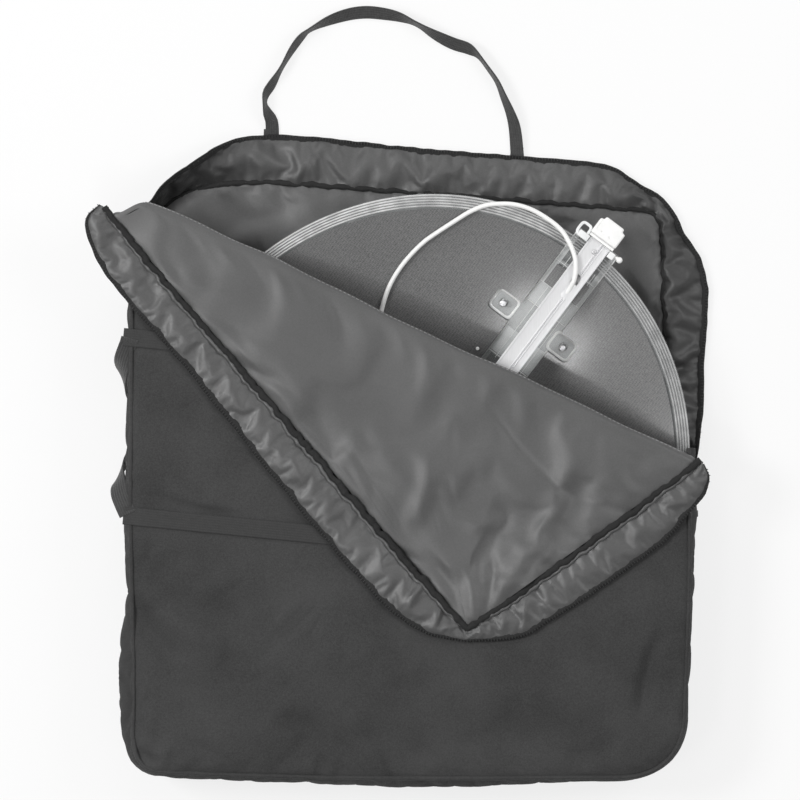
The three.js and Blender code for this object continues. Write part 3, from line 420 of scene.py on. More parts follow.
def grid_share(obj):
    """How far along and across the laid-out grid each point is."""
    uv = values(obj.data.uv_layers.active.data, "uv", 2)
    corner = values(obj.data.loops, "vertex_index", 1, np.int32)[:, 0]
    share = np.zeros((len(obj.data.vertices), 2))
    share[corner] = uv / uv.max(0)
    return share.T


def face_up(obj):
    if sum(p.normal.z * p.area for p in obj.data.polygons) < 0:
        obj.data.flip_normals()


def dress(obj, *materials):
    """Gives a piece its materials and leaves each face in its own slot."""
    for i, m in enumerate(materials):
        if i < len(obj.data.materials):
            obj.data.materials[i] = m
        else:
            obj.data.materials.append(m)


def finish_piece(obj, body, slot, *materials, stands_for=()):
    dress(obj, *materials)
    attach(obj, body)
    if stands_for:
        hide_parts(*stands_for)


def sewn_piece(obj, thickness, body, slot, *materials, stands_for, fill):
    """Thickens a padded sheet and puts it on its body."""
    thicken(obj, thickness, lined=True)
    smooth(obj, 60)
    finish_piece(obj, body, slot, *materials, stands_for=stands_for)


def hard_piece(obj, name, place, body, slot, material, stands_for=(), angle=35):
    """Puts a moulded or metal piece, made in millimetres, in its place and on its body."""
    settle(obj, name, place)
    smooth(obj, angle)
    finish_piece(obj, body, slot, material, stands_for=stands_for)


def join_all(name, parts):
    clear_choice()
    for o in parts:
        o.select_set(True)
    bpy.context.view_layer.objects.active = parts[0]
    bpy.ops.object.join()
    obj = bpy.context.object
    obj.name = obj.data.name = name
    return obj


# ---- materials ----

def shader(name, colour, rough, metal=0.0, alpha=1.0, **constant):
    mat = bpy.data.materials.new(name)
    mat.use_nodes = True
    b = mat.node_tree.nodes["Principled BSDF"]
    b.inputs["Base Color"].default_value = (*colour, 1)
    b.inputs["Roughness"].default_value = rough
    b.inputs["Metallic"].default_value = metal
    b.inputs["Alpha"].default_value = alpha
    for k, v in constant.items():
        b.inputs[k.replace("_", " ")].default_value = v
    return mat, mat.node_tree, b


def node(tree, kind, links=(), **settings):
    n = tree.nodes.new("ShaderNode" + kind)
    for k, v in settings.items():
        if hasattr(n, k):
            setattr(n, k, v)
        else:
            n.inputs[k.replace("_", " ")].default_value = v
    for socket, source in dict(links).items():
        tree.links.new(source, n.inputs[socket])
    return n


def where(tree, kind, scale=(1, 1, 1), turn=0.0):
    coords = node(tree, "TexCoord")
    mapping = node(tree, "Mapping", {"Vector": coords.outputs[kind]})
    mapping.inputs["Scale"].default_value = scale
    mapping.inputs["Rotation"].default_value = (0, 0, turn)
    return mapping.outputs["Vector"]


def shades(tree, factor, *stops):
    ramp = node(tree, "ValToRGB", {"Fac": factor})
    while len(ramp.color_ramp.elements) < len(stops):
        ramp.color_ramp.elements.new(0.5)
    for e, (at, c) in zip(ramp.color_ramp.elements, stops):
        e.position = at
        e.color = (*c, 1)
    return ramp.outputs["Color"]


def grey(v):
    return (v, v, v)


def maths(tree, operation, *terms):
    """The outcome of a sum over sockets and plain numbers."""
    n = node(tree, "Math", operation=operation)
    for i, term in enumerate(terms):
        if isinstance(term, (int, float)):
            n.inputs[i].default_value = term
        else:
            tree.links.new(term, n.inputs[i])
    return n.outputs[0]


def noise(tree, spot, scale, detail, roughness=0.5, distortion=0.0):
    n = node(tree, "TexNoise", {"Vector": spot}, Scale=scale, Detail=detail, Roughness=roughness,
             Distortion=distortion)
    return n.outputs["Fac"]


def bands(tree, spot, direction, pitch, distortion, detail=1.0, detail_scale=1.0):
    """Even threads across one direction, a pitch apart in metres."""
    n = node(tree, "TexWave", {"Vector": spot}, wave_type="BANDS", bands_direction=direction,
             Scale=WAVE_UNIT / pitch, Distortion=distortion, Detail=detail, Detail_Scale=detail_scale)
    return n.outputs["Fac"]


def relief(tree, height, strength, distance, under=None):
    links = {"Height": height} if under is None else {"Height": height, "Normal": under}
    return node(tree, "Bump", links, Strength=strength, Distance=distance).outputs["Normal"]


def spread(tree, value, **limits):
    return node(tree, "MapRange", {"Value": value}, **limits).outputs["Result"]


def around(colour, change):
    """A darker and a paler tone of a colour."""
    return (tuple(min(1, c * (1 + k * change)) for c in colour) for k in (-1, 1))


def cloth(name, tone, rough, kind, pitch, weave, crumple, crumple_size, variation=0.14, shine=0.3):
    """Woven fabric: crossed threads, slow colour changes and soft crumples."""
    mat, tree, b = shader(name, grey(tone), rough, Sheen_Weight=0.05, Sheen_Roughness=0.45,
                          Specular_IOR_Level=shine)
    spot = where(tree, kind)
    warp, weft = (bands(tree, spot, direction, pitch, 0.4, 1.0, 0.6) for direction in "XY")
    threads = maths(tree, "MULTIPLY", warp, weft)
    slow = noise(tree, spot, 9.0, 4.0, 0.55)
    grain = noise(tree, spot, 420.0, 2.0, 0.7)
    mixed = maths(tree, "ADD", maths(tree, "ADD", slow, grain), threads)
    low, high = around(grey(tone), 2 * variation)
    colour = shades(tree, maths(tree, "DIVIDE", mixed, 3), (0.25, low), (0.6, high))
    tree.links.new(colour, b.inputs["Base Color"])
    big = relief(tree, noise(tree, spot, crumple_size, 3.0, 0.5, 0.6), crumple, 0.004)
    tree.links.new(relief(tree, threads, weave, 0.0004, big), b.inputs["Normal"])
    return mat


def paint_shade_along(mat, spans):
    """Painted shade along stretches of a strip, where its walls lie in shade: (middle, half width, share), in
    millimetres.
    """
    tree = mat.node_tree
    b = tree.nodes["Principled BSDF"]
    far = node(tree, "SeparateXYZ", {"Vector": where(tree, "UV")}).outputs["X"]
    tone = b.inputs["Base Color"].links[0].from_socket
    for middle, half, share in spans:
        away = maths(tree, "ABSOLUTE", maths(tree, "SUBTRACT", far, middle * MM))
        left = spread(tree, away, interpolation_type="SMOOTHSTEP", From_Min=0.35 * half * MM,
                      From_Max=half * MM, To_Min=1 - share, To_Max=1)
        # Each span multiplies the base colour by a darker tone, as painted shade.
        tone = node(tree, "HueSaturation", {"Color": tone, "Value": left}).outputs["Color"]
    tree.links.new(tone, b.inputs["Base Color"])


outer_cloth = cloth("outer_cloth", 0.047, 0.8, "Object", 0.0009, 0.5, 0.4, 9, variation=0.28)
wall_cloth = cloth("wall_cloth", 0.042, 0.85, "UV", 0.0018, 0.9, 0.3, 14, shine=0.15)
lining_flat = cloth("lining_flat", 0.083, 0.42, "Object", 0.0012, 0.3, 0.35, 7, shine=0.7)
lining_strip = cloth("lining_strip", 0.074, 0.38, "UV", 0.0012, 0.3, 0.4, 22, shine=0.7)
binding_cloth = cloth("binding_cloth", 0.026, 0.8, "Object", 0.0013, 0.6, 0.6, 120, shine=0.2)
tape_cloth = cloth("tape_cloth", 0.028, 0.75, "UV", 0.0012, 0.7, 0.3, 60, shine=0.2)


def webbing_material(name, low, high, sheen):
    """Flat band: ribs across it and cords along it, with a little fuzz."""
    mat, tree, b = shader(name, grey(low), 0.72, Sheen_Weight=sheen)
    spot = where(tree, "UV")
    both = maths(tree, "MULTIPLY", bands(tree, spot, "X", 0.0022, 0.3), bands(tree, spot, "Y", 0.0035, 0.2))
    mix = maths(tree, "ADD", both, noise(tree, spot, 160.0, 3.0))
    tree.links.new(shades(tree, mix, (0.35, grey(low)), (1.0, grey(high))), b.inputs["Base Color"])
    tree.links.new(relief(tree, both, 0.7, 0.0006), b.inputs["Normal"])
    return mat


def plain(name, colour, rough, metal=0.0, *, spots, change=0.1, bump=0.08, kind="Object",
          stretch=(1, 1, 1), alpha=1.0, **constant):
    """Moulded or rolled surface: slight tone changes, fine scratches and a soft grain."""
    mat, tree, b = shader(name, colour, rough, metal, alpha, **constant)
    spot = where(tree, kind, stretch)
    cloud = noise(tree, spot, spots, 5.0, 0.6)
    low, high = around(colour, change)
    tree.links.new(shades(tree, cloud, (0.3, low), (0.7, high)), b.inputs["Base Color"])
    uneven = spread(tree, cloud, To_Min=max(0.02, rough - 0.08), To_Max=rough + 0.08)
    tree.links.new(uneven, b.inputs["Roughness"])
    fine = noise(tree, spot, spots * 8, 3.0)
    tree.links.new(relief(tree, fine, bump, 0.0006), b.inputs["Normal"])
    return mat


webbing = webbing_material("webbing", 0.022, 0.05, 0.2)
leg_webbing = webbing_material("leg_webbing", 0.022, 0.034, 0.05)
thread = plain("thread", grey(0.3), 0.7, spots=500)
coil_plastic = plain("coil_plastic", grey(0.02), 0.4, spots=300)
slider_metal = plain("slider_metal", grey(0.1), 0.35, 1.0, spots=220, change=0.25)
arm_metal = plain("arm_metal", (0.84, 0.84, 0.85), 0.34, 0.3, spots=30, change=0.07, stretch=(60, 1, 60),
                  bump=0.05)
white_mould = plain("white_mould", (0.93, 0.93, 0.92), 0.38, spots=90, change=0.03, Coat_Weight=0.15)
steel = plain("steel", (0.78, 0.78, 0.79), 0.42, 0.8, spots=260, change=0.12)
sheath = plain("sheath", (0.92, 0.92, 0.91), 0.42, spots=140, change=0.04, kind="UV")
clear_film = plain("clear_film", (0.75, 0.78, 0.78), 0.16, spots=24, change=0.05, alpha=0.10, bump=0.02)
clear_mould = plain("clear_mould", (0.62, 0.63, 0.63), 0.25, spots=45, change=0.15, alpha=0.5, bump=0.1)
# Pale plastic for the frosted plates and rails, and for a painted glow strip on the bracket.
frosted_and_glow = plain("frosted_and_glow", (0.8, 0.81, 0.81), 0.5, spots=30, change=0.15, alpha=0.72, bump=0.2)
clear_block = plain("clear_block", (0.93, 0.94, 0.94), 0.22, spots=60, change=0.06, alpha=0.92, bump=0.1)


def rim_material():
    """Clear rim: the crests of its ribs show pale, the grooves between them stay clear, and painted shade
    makes it darker towards its right side.
    """
    mat, tree, b = shader("clear_rim", grey(0.7), 0.26, alpha=0.5)
    split = node(tree, "SeparateXYZ", {"Vector": where(tree, "UV")})
    turn = maths(tree, "MULTIPLY", split.outputs["Y"], 2 * math.pi * RIM_RIBS)
    crests = spread(tree, maths(tree, "SINE", turn), From_Min=-1, To_Min=0.15, To_Max=0.95)
    patch = noise(tree, where(tree, "Object"), 6.0, 4.0, 0.6)
    patch = spread(tree, patch, From_Min=0.3, From_Max=0.7, To_Min=0.35)
    both = maths(tree, "MULTIPLY", crests, patch)
    # Painted shade: the rim is more opaque and paler at the left, and clearer, so darker, towards the right.
    side = node(tree, "SeparateXYZ", {"Vector": where(tree, "Object")})
    side_shade = spread(tree, side.outputs["X"], From_Min=0.0, From_Max=0.3, To_Min=1.15, To_Max=0.48)
    tree.links.new(maths(tree, "MULTIPLY", both, side_shade), b.inputs["Alpha"])
    mark = noise(tree, where(tree, "Object"), 60.0, 5.0)
    tree.links.new(shades(tree, mark, (0.3, grey(0.6)), (0.7, grey(0.95))), b.inputs["Base Color"])
    return mat


def mesh_material():
    """Fine wire cloth that runs along the arm under a clear gloss, with the slow stripes of crossed wires."""
    mat, tree, b = shader("wire_cloth", grey(0.17), 0.55, alpha=0.9, Coat_Weight=1.0, Coat_Roughness=0.16)
    spot = where(tree, "Object", turn=-DISH_TURN)
    fine = bands(tree, spot, "X", 0.0036, 0.5, 2.0, 2.0)
    cross = bands(tree, spot, "Y", 0.0024, 0.5, 2.0, 2.0)
    slow = noise(tree, spot, 5.0, 3.0)
    speck = noise(tree, spot, 520.0, 2.0, 0.7)
    wires = maths(tree, "MULTIPLY", maths(tree, "ADD", fine, cross), 0.5)
    mixed = maths(tree, "ADD", wires, maths(tree, "MULTIPLY", speck, 4))
    mixed = maths(tree, "ADD", mixed, slow)
    colour = shades(tree, maths(tree, "DIVIDE", mixed, 6), (0.33, grey(0.085)), (0.67, grey(0.225)))
    tree.links.new(colour, b.inputs["Base Color"])
    tree.links.new(relief(tree, speck, 0.12, 0.0004), b.inputs["Normal"])
    return mat


clear_rim = rim_material()
wire_cloth = mesh_material()


# ---- coaxial cable ----

CABLE_ROUTE = [
    (17.4, 311.8, 95.6), (17.1, 322.2, 98.3), (16.7, 331.9, 102.2), (14.9, 341.8, 106.3),
    (8.5, 354.5, 107.2), (-3.4, 368.7, 107), (-21.4, 380.2, 100), (-43.1, 388.3, 93), (-68.7, 389.1, 91),
    (-93.1, 385.8, 91), (-115, 377.5, 91), (-132.4, 365.7, 91), (-147.3, 351.4, 91), (-159, 332, 90),
    (-167.9, 309.7, 84.5), (-176.6, 286.3, 78), (-184.7, 262.1, 72), (-189, 237, 66.5),
    (-190.1, 209.3, 60.5), (-186.4, 180.2, 54), (-175.3, 147.9, 46.5), (-156.4, 110.2, 38.5),
    (-134.2, 70.6, 31.5), (-105.1, 36.8, 26), (-68.7, 11.6, 22), (-27.7, -1.4, 19.5), (15, 2.5, 19.5),
    (52.8, 22.1, 21), (80.8, 55.6, 25), (93.4, 96.3, 31), (90, 130, 36.5),
]


def through(points, each):
    """Smooth line through the points, in this many steps from each to the next."""
    pts = np.array(points, float)
    ends = np.vstack([2 * pts[0] - pts[1], pts, 2 * pts[-1] - pts[-2]])
    line = []
    for i in range(len(pts) - 1):
        a, b, c, d = ends[i:i + 4]
        for t in np.linspace(0, 1, each, endpoint=False):
            line.append(0.5 * (2 * b + (c - a) * t + (2 * a - 5 * b + 4 * c - d) * t * t
                               + (3 * b - a - 3 * c + d) * t ** 3))
    line.append(pts[-1])
    return np.array(line)


cable_line = through([tuple(dish_place @ Vector(p)) for p in CABLE_ROUTE], 6)
coax = tube("coax_lead", cable_line, 3.25, 4)


# ---- seam round the back, and the walls ----

SEAM_CORNERS = [(-366, 402, 95, 200), (346, 348, 28), (360, -50, 150), (350, -416, 62), (-366, -416, 18)]


def round_corners(corners, steps=20):
    points = []
    for i, (x, y, *rounds) in enumerate(corners):
        here = np.array((x, y), float)
        before = np.array(corners[i - 1][:2], float) - here
        after = np.array(corners[(i + 1) % len(corners)][:2], float) - here
        start = here + before / np.linalg.norm(before) * rounds[0]
        end = here + after / np.linalg.norm(after) * rounds[-1]
        for t in np.linspace(0, 1, steps):
            points.append((1 - t) ** 2 * start + 2 * t * (1 - t) * here + t * t * end)
    return np.array(points)


seam_points = round_corners(SEAM_CORNERS)
seam_closed = np.vstack([seam_points, seam_points[:1]])
seam_far = run_of(seam_closed)
SEAM_LENGTH = seam_far[-1]


def seam_xy(station):
    s = np.mod(station, SEAM_LENGTH)
    return np.interp(s, seam_far, seam_closed[:, 0]), np.interp(s, seam_far, seam_closed[:, 1])


def seam_at(station, out):
    """Point beside the seam, and the way out of the bag there."""
    x0, y0 = seam_xy(station - 4)
    x1, y1 = seam_xy(station + 4)
    x, y = seam_xy(station)
    length = np.hypot(x1 - x0, y1 - y0)
    nx, ny = -(y1 - y0) / length, (x1 - x0) / length
    return x + nx * out, y + ny * out, nx, ny


def station_near(x, y):
    s = np.linspace(0, SEAM_LENGTH, 3000, endpoint=False)
    sx, sy = seam_xy(s)
    return float(s[np.argmin(np.hypot(sx - x, sy - y))])


TOP_LEFT_END = station_near(-238, 392)
RIGHT_TOP = station_near(346, 348)
SIDE_TUCK_START = station_near(366, 240)
LEFT_TURN = station_near(-322, 370)
TOP_SWELL = station_near(-160, 387)
MOUTH_OPEN = station_near(366, 100)
MOUTH_SHUT = station_near(366, -50)


def openness(station):
    s = np.mod(station, SEAM_LENGTH)
    return ease(s, 0, TOP_LEFT_END) * (1 - ease(s, MOUTH_OPEN, MOUTH_SHUT))


SLACK = [
    (-366, 296, 0, 0), (-362, 330, -10, -8), (-350, 352, -26, -14), (-325, 368, -22, -12),
    (359, -75, -1, 0), (357, -140, -4, 1), (354, -280, -10, 0), (351, -350, -11, -1), (335, -395, -8, -1),
    (290, -414, -7, 0), (200, -416, -5, 0), (90, -416, 0, 1), (-20, -416, 2, 1), (-130, -416, -1, 0),
    (-272, -416, -10, -4), (-352, -416, -13, -8), (-366, -406, -3, -3), (-366, -385, 4, 0),
    (-366, -340, 9, -1), (-366, -285, 9, -1), (-366, -235, 4, 0), (-366, -180, -6, 1), (-366, -100, 0, 3),
    (-366, 0, -3, 3), (-366, 80, -5, 2), (-366, 150, -5, 2), (-366, 225, -4, 1),
]
slack_rows = sorted((station_near(x, y), middle, front) for x, y, middle, front in SLACK)
slack_at, slack_middle, slack_front = (list(row) for row in zip(*slack_rows))


def flatness(station):
    """Like openness, but at the left the wall still stands where it already leans out."""
    s = np.mod(station, SEAM_LENGTH)
    return ease(s, 0.3 * TOP_LEFT_END, 1.3 * TOP_LEFT_END) * (1 - ease(s, MOUTH_OPEN, MOUTH_SHUT))


def slack(station, rows):
    """How much further out, or in, the closed side stands than its even shape."""
    more = np.interp(np.mod(station, SEAM_LENGTH), slack_at, rows, period=SEAM_LENGTH)
    return more * (1 - openness(station))


def wall_out(z, station):
    up = z / FRONT_TOP
    middle, front = slack(station, slack_middle), slack(station, slack_front)
    return 0.3 + (22 + front) * up + (20 + middle - front / 2) * np.sin(np.pi * up)


def gathered(station):
    """Share of the open wall's width that is gathered up."""
    right = 0.7 * np.exp(-((station - RIGHT_TOP - 3) / 50) ** 2)
    left = 0.5 * np.exp(-((station - LEFT_TURN) / 55) ** 2)
    return right + left + 0.2 * ease(station, SIDE_TUCK_START, MOUTH_OPEN)


def open_edge(station):
    """How far from the seam the open wall's free edge lies."""
    swell = 5 * np.exp(-((station - TOP_SWELL) / 110) ** 2)
    return 58.5 + 0.5 * edge_waver(station) + swell - 54 * gathered(station)


def waver(seed, shortest=16.0, longest=70.0):
    """Uneven line of unit height, from a few waves of different length."""
    pick = random.Random(seed)
    waves = [(2 * math.pi / pick.uniform(shortest, longest), pick.uniform(0, 6.28)) for _ in range(WAVES)]

    def value(far):
        return sum(np.sin(far * k + phase) for k, phase in waves) / math.sqrt(WAVES)
    return value


def puckers(seed, count, length, size, height, slant=18, both_ways=0.35):
    """Short gathers across a strip, strongest at its seams."""
    pick = random.Random(seed)
    rows = []
    for _ in range(count):
        at, wide, high = pick.uniform(0, length), pick.uniform(*size), pick.uniform(*height)
        high *= 1 if pick.random() > both_ways else -1
        rows.append((at, wide, high, pick.uniform(-slant, slant), pick.choice((0.0, 1.0, 0.5)),
                     pick.uniform(0.25, 0.6)))

    def lift(s, t):
        total = np.zeros_like(s)
        for at, wide, high, lean, root, reach in rows:
            away = (s - at - lean * (t - 0.5) * 2) / wide
            total += high * np.exp(-away ** 2) * np.exp(-((t - root) / reach) ** 2)
        return total
    return lift


def ridges(x, y, rows):
    """Soft folds along straight lines: (x1, y1, x2, y2, width, height) in millimetres."""
    total = np.zeros_like(x)
    for x1, y1, x2, y2, wide, high in rows:
        dx, dy = x2 - x1, y2 - y1
        long = math.hypot(dx, dy)
        along = ((x - x1) * dx + (y - y1) * dy) / long ** 2
        side = ((x - x1) * dy - (y - y1) * dx) / long
        side = side - 0.05 * long * np.sin(np.pi * np.clip(along, 0, 1))
        ends = ease(along, -0.12, 0.3) * (1 - ease(along, 0.7, 1.12))
        total += high * np.exp(-(side / wide) ** 2) * ends
    return total


seam_waver = waver(6)
edge_waver = waver(7, 20, 90)
REAR_TOP = ZIP_MIDDLE - ZIP_HALF_GAP
rear_folds = puckers(4, 105, SEAM_LENGTH, size=(9, 27), height=(1.5, 6.0), slant=34)
turn_folds = puckers(19, 22, 280, size=(6, 12), height=(3.0, 7.0), slant=14, both_ways=0.5)
right_folds = puckers(20, 40, 420, size=(5, 11), height=(2.5, 7.0), slant=16, both_ways=0.5)
wall_sway = waver(5, 90, 400)


def rear_wall_place(s, t):
    station = s * SEAM_LENGTH
    gap = openness(station)
    z = 1.5 + (REAR_TOP - 1.5) * t
    fold = rear_folds(station, t) * (0.3 + 0.7 * gap) + turn_folds(station, t)
    fold = fold + right_folds(station - RIGHT_TOP + 70, t)
    edge = np.sin(np.pi * t)
    shut_out = wall_out(z, station) - (0.5 * fold + 1.5 * wall_sway(station)) * edge
    open_out = -1.5 + (open_edge(station) + 1.5) * t + seam_waver(station) * (1 - t)
    at_right = ease(station, RIGHT_TOP - 30, RIGHT_TOP + 50)
    hump = np.sin(np.pi * t ** (1 - 0.45 * at_right))
    rise = (4.8 + 7 * at_right + 6 * gathered(station)) * hump
    open_z = OPEN_WALL_HEIGHT + rise + fold * (0.15 + 0.85 * edge) - 2.5 * t * at_right
    x, y, _, _ = seam_at(station, shut_out + (open_out - shut_out) * gap)
    return x, y, z + (np.clip(open_z, 5.2, 21) - z) * flatness(station)


rear_lining = cloth("rear_lining", 0.082, 0.4, "UV", 0.0012, 0.3, 0.4, 22, shine=0.6)
# Painted shade: the rear lining is darker at the top-left turn and along the right side, where the walls lie
# in shade.
paint_shade_along(rear_lining, [(LEFT_TURN - 10, 150, 0.5), (RIGHT_TOP + 150, 290, 0.5)])
WALL_NODES = [
    "left", "left_top_corner", "top", "right_top_corner", "right_open", "right_turn", "right",
    "right_bottom_corner", "bottom", "left_bottom_corner",
]
rear_wall = loft("rear_walls", 900, 18, rear_wall_place, (SEAM_LENGTH, 60), closed=True)
along, across = grid_share(rear_wall)
hold = np.maximum(near_ends(across, 0.08), 0.02)
hold = np.maximum(hold, 0.3 * (1 - openness(along * SEAM_LENGTH)))
settle_cloth(rear_wall, hold, grow=0.045, press=0.3, bend=16.0, cap=5.0, jitter=0.12)
sewn_piece(rear_wall, 4.0, "bag", "outer_fabric", rear_lining, wall_cloth,
           stands_for=["rear_wall_" + n for n in WALL_NODES], fill=0.4)

FRONT_START = (MOUTH_OPEN + MOUTH_SHUT) / 2 + 8
front_span = SEAM_LENGTH - FRONT_START
front_folds = puckers(9, 60, SEAM_LENGTH, size=(8, 22), height=(0.8, 2.4))


def front_wall_place(s, t):
    station = FRONT_START + s * front_span
    z = ZIP_MIDDLE + ZIP_HALF_GAP + (FRONT_TOP - 3.5 - ZIP_MIDDLE - ZIP_HALF_GAP) * t
    loose = (1.5 * wall_sway(station) - 0.5 * front_folds(station, t)) * np.sin(np.pi * t)
    x, y, _, _ = seam_at(station, wall_out(z, station) + 1.0 + loose)
    return x, y, z


front_wall = loft("front_walls", 560, 14, front_wall_place, (front_span, 55))
along, across = grid_share(front_wall)
hold = np.maximum(near_ends(across, 0.08), 0.05)
hold = np.maximum(hold, near_ends(along, 0.01))
settle_cloth(front_wall, hold, grow=0.03, press=0.2, bend=16.0, cap=3.0, jitter=0.12)
sewn_piece(front_wall, 4.0, "bag", "outer_fabric", lining_strip, wall_cloth,
           stands_for=["front_wall_right", "front_wall_bottom", "front_wall_left"], fill=0.4)


# ---- zip round the bag ----

def tape_place(s, t):
    station = s * SEAM_LENGTH
    gap = openness(station)
    z = ZIP_MIDDLE - 7 + 14 * t
    shut_out = wall_out(ZIP_MIDDLE, station) + 3.0 + 0.8 * np.sin(np.pi * t)
    ripple = 0.7 * np.sin(station / 9.0) + 0.9 * np.sin(station / 31.0)
    open_out = open_edge(station) - 3 + 8.5 * t - 12 * gap * (1 - gap) * (1 - t)
    open_z = OPEN_WALL_HEIGHT + 1.8 * np.sin(np.pi * t) + 0.5 * ripple - 1.6 * t
    x, y, _, _ = seam_at(station, shut_out + (open_out - shut_out) * gap)
    return x, y, z + (open_z - z) * flatness(station)


tape = loft("zip_tape", 560, 5, tape_place, (SEAM_LENGTH, 14), closed=True)
thicken(tape, 1.6)
smooth(tape, 60)


TOOTH_PITCH = 4.2
TOOTH_SIZE = (1.5, 3.4, 2.0)


def zip_teeth(name, line, up):
    """One tooth, copied along a line as one mesh."""
    far = run_of(line)
    count = int(far[-1] / TOOTH_PITCH)
    shape = np.array([(a, b, c) for a in (-0.5, 0.5) for b in (-0.5, 0.5) for c in (-0.5, 0.5)])
    shape[:, :2] *= np.where(shape[:, 2:] > 0, 0.7, 1.0)
    shape *= TOOTH_SIZE
    faces = np.array([(0, 1, 3, 2), (4, 6, 7, 5), (0, 4, 5, 1), (2, 3, 7, 6), (0, 2, 6, 4), (1, 5, 7, 3)])
    at = (np.arange(count) + 0.5) * TOOTH_PITCH
    middle = points_at(at, far, line)
    ahead = unit(points_at(at + 1, far, line) - middle)
    across = unit(np.cross(points_at(at, far, up), ahead))
    rise = np.cross(ahead, across)
    lean = np.where(np.arange(count) % 2, 0.5, -0.5)[:, None] * across
    verts = (middle + lean)[:, None] + (
        shape[None, :, 0:1] * ahead[:, None] + shape[None, :, 1:2] * across[:, None]
        + shape[None, :, 2:3] * rise[:, None])
    quads = (np.arange(count)[:, None, None] * 8 + faces[None]).reshape(-1, 4)
    mesh = bpy.data.meshes.new(name)
    mesh.from_pydata((verts.reshape(-1, 3) * MM).tolist(), [], quads.tolist())
    obj = linked(name, mesh)
    tidy_normals(obj)
    return obj


stations = np.linspace(0, SEAM_LENGTH, 900)
gap = openness(stations)
shut = wall_out(ZIP_MIDDLE, stations) + 4.7
tx, ty, nx, ny = seam_at(stations, shut + (open_edge(stations) + 2.6 - shut) * gap)
flat = flatness(stations)
tooth_line = np.stack([tx, ty, between(ZIP_MIDDLE, OPEN_TEETH_HEIGHT, flat)], 1)
tooth_up = np.stack([nx * (1 - flat), ny * (1 - flat), flat], 1)
teeth = zip_teeth("bag_zip_teeth", tooth_line, tooth_up)
finish_piece(tape, "bag", "zip", tape_cloth,
             stands_for=["zip_tape_" + n for n in ("left", "top", "right_top", "right", "bottom")])
finish_piece(teeth, "bag", "zip", coil_plastic)


# ---- bindings along the seams ----

def lumpy(count, seed, amount):
    """Uneven radii for a cord."""
    pick = random.Random(seed)
    wave = np.array([pick.uniform(-1, 1) for _ in range(count)])
    wave = np.convolve(wave, np.ones(3) / 3, "same")
    return 1 + amount * wave * 1.6


s = np.linspace(0, SEAM_LENGTH, 640, endpoint=False)
gap = openness(s)
bx, by, _, _ = seam_at(s, 1.0 + gap * seam_waver(s))
binding_line = np.stack([bx, by, 4.0 + (5.6 + 0.8 * edge_waver(s)) * gap], 1)
back_binding = tube("back_seam_binding", binding_line, 3.7, 3, closed=True, radii=lumpy(len(s), 3, 0.3))
finish_piece(back_binding, "bag", "zip", binding_cloth)
s = np.linspace(FRONT_START, SEAM_LENGTH + 10, 420)
bx, by, _, _ = seam_at(s, wall_out(FRONT_TOP, s) + 4.0)
binding_line = np.stack([bx, by, np.full_like(bx, FRONT_BINDING_HEIGHT)], 1)
front_binding = tube("front_seam_binding", binding_line, 3.0, 3, radii=lumpy(len(s), 5, 0.1))
finish_piece(front_binding, "bag", "outer_fabric", outer_cloth)


# ---- back and front pads ----

def outline_of(out, count=360):
    s = np.linspace(0, SEAM_LENGTH, count, endpoint=False)
    x, y, _, _ = seam_at(s, out(s))
    return np.stack([x, y], 1)


def to_fold(x, y):
    """From the bag's frame to the fold's: a runs along the fold, b across it."""
    c, s = math.cos(FOLD_TURN), math.sin(FOLD_TURN)
    u, v = x - FOLD_CORNER[0], y - FOLD_CORNER[1]
    return u * c + v * s, -u * s + v * c


BOW = [
    (0, 20), (12, 22), (29, 24), (55, 28), (85, 30), (181, 27), (240, 27), (288, 23), (359, 18), (422, 14),
    (526, 10), (628, 8), (706, 4), (905, -3),
]


def fold_bow(a):
    """How far the soft fold lies beyond its straight line."""
    spots = [k for k, _ in BOW]
    rises = [k for _, k in BOW]
    return sum(np.interp(a + k, spots, rises) for k in (-16, -8, 0, 8, 16)) / 5


def from_fold(a, b):
    c, s = math.cos(FOLD_TURN), math.sin(FOLD_TURN)
    return FOLD_CORNER[0] + a * c - b * s, FOLD_CORNER[1] + a * s + b * c


def evenly(points, count):
    closed = np.vstack([points, points[:1]])
    far = run_of(closed)
    return points_at(np.linspace(0, far[-1], count, endpoint=False), far, closed)


PAD_RINGS = 60
PAD_POINTS = 520


def pad(name, outline, height):
    """Top sheet of a padded panel: rings from its outline to its middle."""
    rim = evenly(outline, PAD_POINTS)
    middle = rim.mean(0)
    loop = np.vstack([rim, rim[:1]])
    step = np.arange(PAD_POINTS + 1) / PAD_POINTS

    def place(s, t):
        x = np.interp(s, step, loop[:, 0])
        y = np.interp(s, step, loop[:, 1])
        inward = t ** 1.35 * 0.998
        px = between(x, middle[0], inward)
        py = between(y, middle[1], inward)
        edge = inward * np.hypot(x - middle[0], y - middle[1])
        return px, py, height(px, py, edge, s)
    obj = loft(name, PAD_POINTS, PAD_RINGS, place, closed=True)
    start_editing(obj)
    bpy.ops.mesh.fill_holes(sides=4)
    done_editing()
    if sum(p.normal.z for p in obj.data.polygons) <= 0:
        obj.data.flip_normals()
    bm = bmesh.new()
    bm.from_mesh(obj.data)
    inner = [e for e in bm.edges if e.is_boundary and (e.verts[0].co.xy - Vector(middle) * MM).length < 0.03]
    if inner:
        bmesh.ops.holes_fill(bm, edges=inner, sides=0)
    bmesh.ops.recalc_face_normals(bm, faces=bm.faces)
    if sum(f.normal.z for f in bm.faces) < 0:
        bmesh.ops.reverse_faces(bm, faces=bm.faces)
    bm.to_mesh(obj.data)
    bm.free()
    return obj


def places(obj):
    """Points of a piece in millimetres."""
    return values(obj.data.vertices, "co", 3).astype(float) / MM


def distance_to(points, outline):
    """How far each point is from an outline, at most as far as its nearest corner."""
    best = np.full(len(points), 1e9)
    for corner in outline:
        best = np.minimum(best, np.hypot(points[:, 0] - corner[0], points[:, 1] - corner[1]))
    return best


